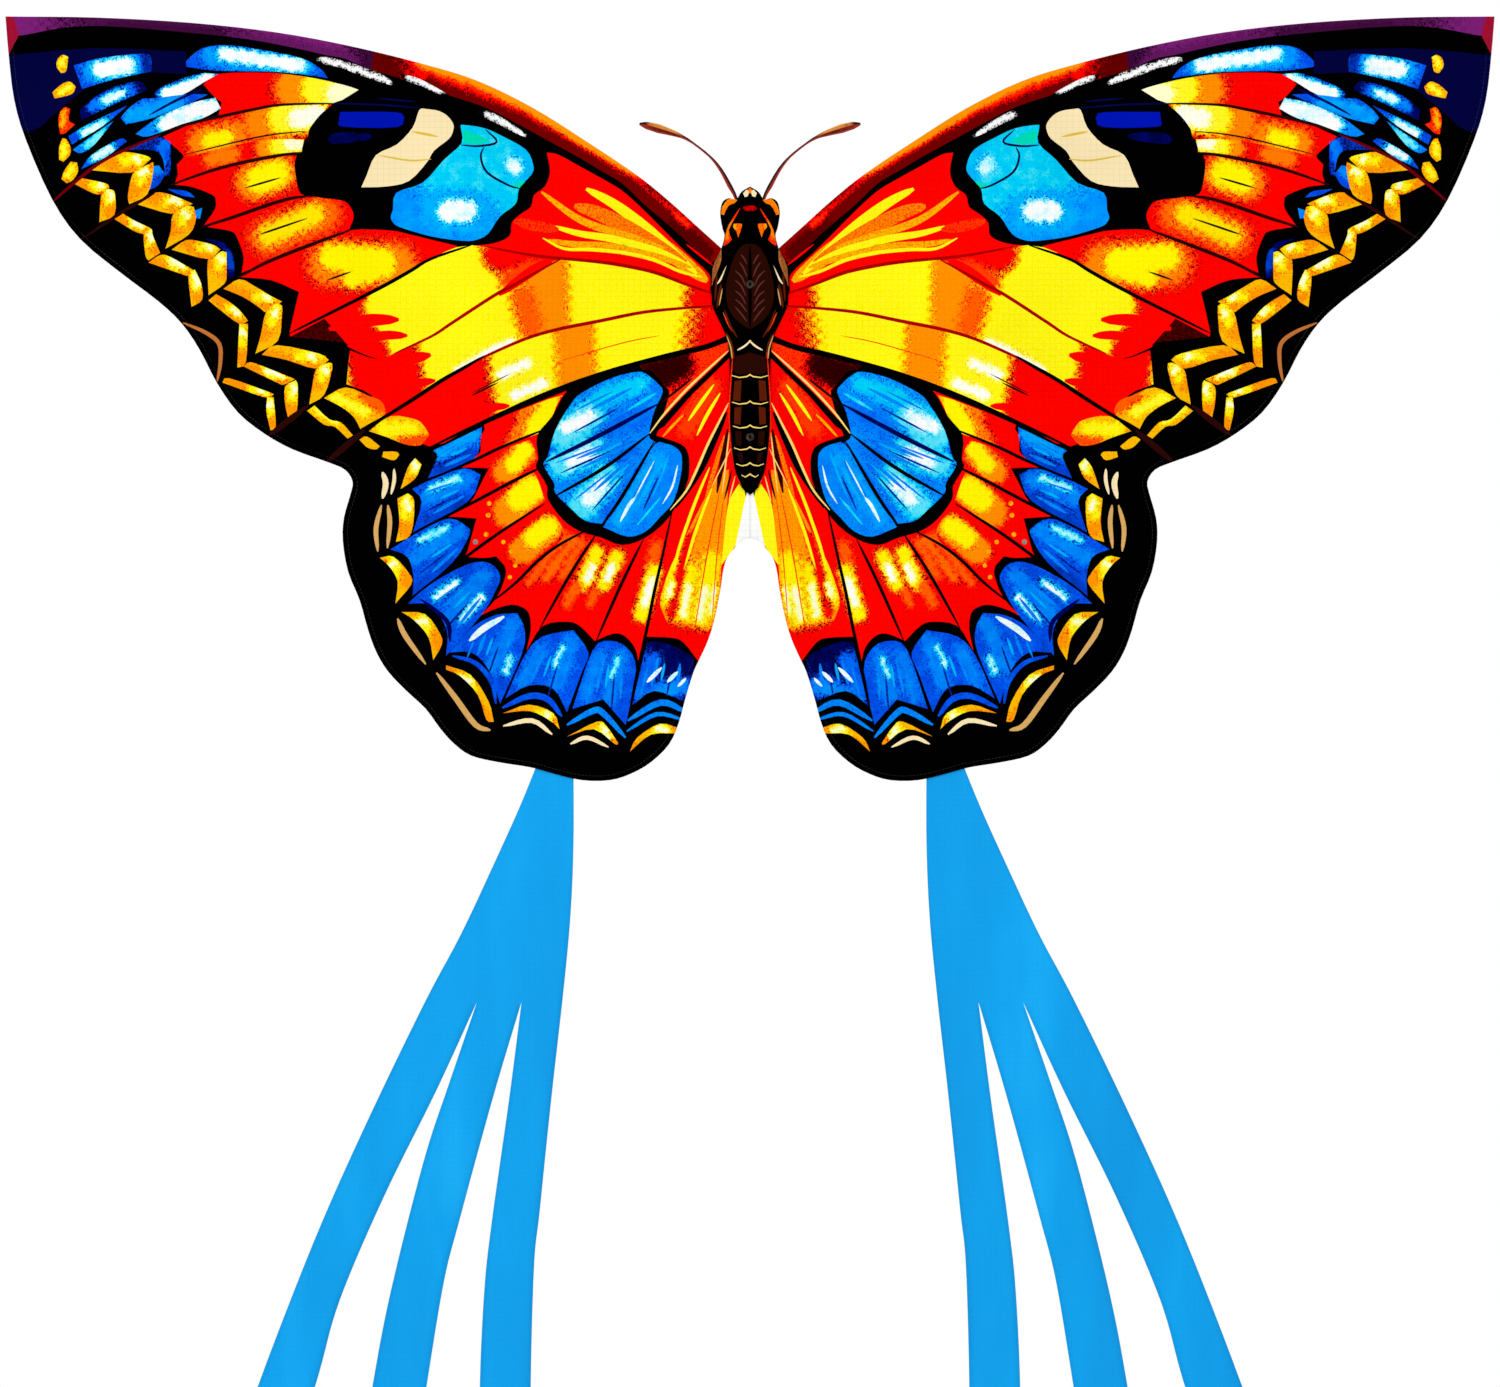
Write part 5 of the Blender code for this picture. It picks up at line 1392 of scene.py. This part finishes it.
def edge_sleeve(side, word, cloth, thread):
    """The leading edge folded back over its spar and sewn down below it."""
    edge = smooth(LEADING_EDGE, 8)
    line = [inset_point(edge, i, SPAR_INSET) for i in range(1, len(edge) - 1)]
    line = [p for p in line if SLEEVE_ENDS[0] < p.x < SLEEVE_ENDS[1]]
    path = resampled([Vector((p.x * side, SPAR_Y / MM, p.y)) * MM for p in line], 0.008)
    radius = 0.0029
    arc = [
        (-radius * math.cos(a), radius * math.sin(a))
        for a in (-1.05 + (math.pi + 1.55) * i / 12 for i in range(13))
    ]
    section = [(-0.0051, -0.0046), (-0.0046, -0.0044)] + arc + [(0.0048, -0.0040), (0.0095, -0.0042)]
    section = [(u * (-side), v) for u, v in section]
    sleeve = swept("edge_sleeve_" + word, path, section)
    thicken(sleeve, LINING)
    wing = "wing_" + word
    finished(sleeve, cloth, "black_cloth", wing, "leading_edge_sleeve_" + word)
    seam = [
        p + along(path, i).cross(BACK) * 0.0078 * (-side) - BACK * 0.0037
        for i, p in enumerate(path)
    ]
    sewn = stitches("edge_sleeve_stitches_" + word, [seam], wing, thread)
    return [sleeve, sewn]


def sewn_pocket(name, start, end, radius, axis_y, body, cloth, thread, node):
    """Cloth sewn down on both sides of a straight rod, from one point to the other."""
    foot = PATCH_FRONT + 0.0001 - axis_y
    pocket = swept(name, resampled([start, end], 0.003), omega(radius, foot, 0.0038))
    thicken(pocket, LINING)
    finished(pocket, cloth, "black_cloth", body, node)
    side = (end - start).normalized().cross(BACK).normalized() * (radius + 0.0022)
    drop = Vector((0, foot + 0.0002, 0))
    rows = [[start + side + drop, end + side + drop], [start - side + drop, end - side + drop]]
    sewn = stitches(name + "_stitches", rows, body, thread, pitch=0.0028)
    return [pocket, sewn]


# ---- camera, light and floor ---------------------------------------------------------------------
def stage():
    """The camera, a white surround, one soft lamp, and a pale floor under the streamers."""
    bpy.context.scene.view_settings.view_transform = "Standard"
    camera = bpy.data.objects.new("camera", bpy.data.cameras.new("camera"))
    camera.data.lens = 100
    camera.data.sensor_width = 36
    camera.data.clip_end = 50
    camera.location = (0, -3.917, -0.3605)
    camera.rotation_euler = (math.pi / 2, 0, 0)
    bpy.context.scene.collection.objects.link(camera)
    bpy.context.scene.camera = camera

    world = bpy.data.worlds.new("studio")
    world.use_nodes = True
    world.node_tree.nodes["Background"].inputs["Color"].default_value = (1, 1, 1, 1)
    world.node_tree.nodes["Background"].inputs["Strength"].default_value = 1.0
    bpy.context.scene.world = world

    lamp = bpy.data.objects.new("soft_key", bpy.data.lights.new("soft_key", "AREA"))
    lamp.data.shape = "DISK"
    lamp.data.size = 2.4
    lamp.data.energy = 22
    lamp.location = (-1.6, -3.2, 2.2)
    lamp.rotation_euler = (Vector((0, 0, -0.3)) - lamp.location).to_track_quat("-Z", "Y").to_euler()
    bpy.context.scene.collection.objects.link(lamp)

    bm = bmesh.new()
    bmesh.ops.create_circle(bm, cap_ends=True, radius=1.8, segments=96)
    bmesh.ops.translate(bm, verts=bm.verts[:], vec=(0, 0, TAIL_BOTTOM - 0.004))
    floor = from_bmesh("floor", bm)
    n = Nodes("pale_floor")
    n.colour(n.ramp(n.noise(3), [(0.3, "eeeeee"), (0.7, "f4f4f4")]))
    n.set(Roughness=0.8)
    floor.data.materials.append(n.material)


# ---- putting it together -------------------------------------------------------------------------
def dress_nodes():
    """Materials for the CAD nodes that stay in view, by the record's material slots."""
    moulding = moulded_material("moulded_nylon", "101012", "222226", (0.35, 0.55), 0.0003)
    looks = {
        "fibreglass": rod_material(),
        "vinyl": moulded_material("soft_vinyl", "0c0c0d", "1a1a1c", (0.5, 0.7)),
        "moulding": moulding,
        "antenna_plastic": antenna_material(),
        "eyelet_metal": metal_material(),
    }
    for part in frame["record"]["subparts"]:
        look = looks.get(part["material_slot"])
        if look:
            mesh = frame["nodes"][part["node"]].data
            mesh.materials.clear()
            mesh.materials.append(look)


def wing_details(side, word, black, thread):
    """The leading edge's sleeve, and the patches and pockets sewn to a wing's back."""
    wing = "wing_" + word
    made = edge_sleeve(side, word, black, thread)
    tip = [Vector((x * side, z)) * MM for x, z in WING_TIP_PATCH]
    made += patch(
        "tip_patch_" + word, tip, PATCH_FRONT, wing, thread, "wing_tip_patch_" + word, black
    )
    clip_x, clip_radius = CLIP
    ring = [
        Vector((side * clip_x + clip_radius * math.cos(a), clip_radius * math.sin(a))) * MM
        for a in circle(24)
    ]
    made += patch("clip_base_" + word, ring, PATCH_FRONT, wing, thread, "clip_patch_" + word, black)
    inner, outer = [Vector((x * side, SPAR_Y, z)) for x, z in (STRUT_INNER, STRUT_OUTER)]
    way = (outer - inner).normalized()
    for end, rod_end, inwards in (("inner", inner, way), ("outer", outer, -way)):
        lengthways = Vector((inwards.x, inwards.z))
        across = Vector((inwards.z, -inwards.x))
        middle = Vector((rod_end.x, rod_end.z)) + lengthways * 0.013
        corners = [middle + lengthways * u * MM + across * v * MM for u, v in STRUT_PATCH]
        made += patch(
            f"strut_base_{end}_{word}", corners, PATCH_FRONT, wing, thread,
            f"strut_patch_{end}_{word}", black,
        )
        made += sewn_pocket(
            f"strut_sleeve_{end}_{word}", rod_end - inwards * 0.0023, rod_end + inwards * 0.0275,
            0.0030, SPAR_Y - 0.0007, wing, black, thread, f"strut_pocket_{end}_{word}",
        )
    return made


def spine_loop(name, low, high, black, thread, node):
    """A cloth loop that holds the spine, between two heights."""
    ends = [Vector((0, SPINE_Y, z)) for z in (low, high)]
    return sewn_pocket(name, *ends, SPINE_RADIUS, SPINE_Y, "spine", black, thread, node)


def spine_details(black, thread):
    """The loops round the spine, and the pocket and patch at its nose."""
    for name, low, high in SPINE_LOOPS:
        spine_loop("spine_loop_" + name, low, high, black, thread, "spine_sleeve_" + name)
    half = [Vector(p) * MM for p in NOSE_PATCH]
    outline = half + [Vector((-p.x, p.y)) for p in reversed(half[1:])]
    patch("nose_backing", outline, 0.0001, "spine", thread, "nose_patch", black)
    spine_loop("nose_sleeve", *NOSE_POCKET, black, thread, "nose_pocket")


def antenna_socket(side, word, black):
    """A short cloth loop round the foot of the antenna, with a rolled rim."""
    node = "antenna_socket_" + word
    low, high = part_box(node)
    y = (low.y + high.y) / 2
    foot, up = [Vector((x * side * MM, y, z * MM)) for x, z in ANTENNA_FOOT]
    way = (up - foot).normalized()
    outer = (high.y - low.y) / 2
    inner = outer - 0.0006
    start = foot - way * 0.001
    across = way.cross(BACK).normalized()
    rows = []
    for radius, share in ((inner, 0.0), (outer - 0.0001, 0.0), (outer, 0.02), (outer, 0.45),
                          (outer * 0.98, 0.5), (outer, 0.55), (outer, 0.98),
                          (outer - 0.0001, 1.0), (inner, 1.0)):
        at = start + way * 0.015 * share
        rows.append([
            at + (across * math.cos(t) + BACK * math.sin(t)) * radius
            for t in (2 * math.pi * i / 20 for i in range(21))
        ])
    obj = grid_object("antenna_loop_" + word, rows + [rows[0]])
    return finished(obj, black, "black_cloth", "spine", node)


def tail_header(side, word, cloth, thread):
    """The tab that a streamer hangs from."""
    foot = TAIL_TOP + 0.0006
    outline = [
        Vector((x * side, foot + up))
        for x, up in ((0.166, 0), (0.197, 0), (0.194, 0.012), (0.168, 0.012))
    ]
    return patch(
        "streamer_header_" + word, outline, PATCH_FRONT, "wing_" + word, thread,
        "tail_header_" + word, cloth, "tail_ribbon",
    )


def build_kite():
    """Every piece of the visual model, one wing after the other, then the middle."""
    sail_print = print_material("sail_print_cloth", (0.50, 0.66), 0.00008)
    body_print = print_material("body_print_cloth", (0.55, 0.75), 0.00005)
    black_cloth = cloth_material("black_sewing_cloth", "0b0b0d", "202024")
    hem_cloth = cloth_material("hem_binding", "100808", "2a1210", 0.0009)
    thread = cloth_material("sewing_thread", "0a0a0b", "2c2c30", 0.0004, 0.3)
    blue_cloth = ribbon_material()

    outline = half_sail_outline()
    half_print = printed_mesh(outline, sail_layers(), 3)
    for side, word in ((-1, "left"), (1, "right")):
        sail = sail_piece(side, word, half_print, sail_print)
        sewn = hem(side, word, hem_cloth, thread) + wing_details(side, word, black_cloth, thread)
        header = tail_header(side, word, blue_cloth, thread)
        tail = tail_piece(side, word, blue_cloth)
        antenna_socket(side, word, black_cloth)
    body_panel(body_print)
    spine_details(black_cloth, thread)


stage()
dress_nodes()
build_kite()
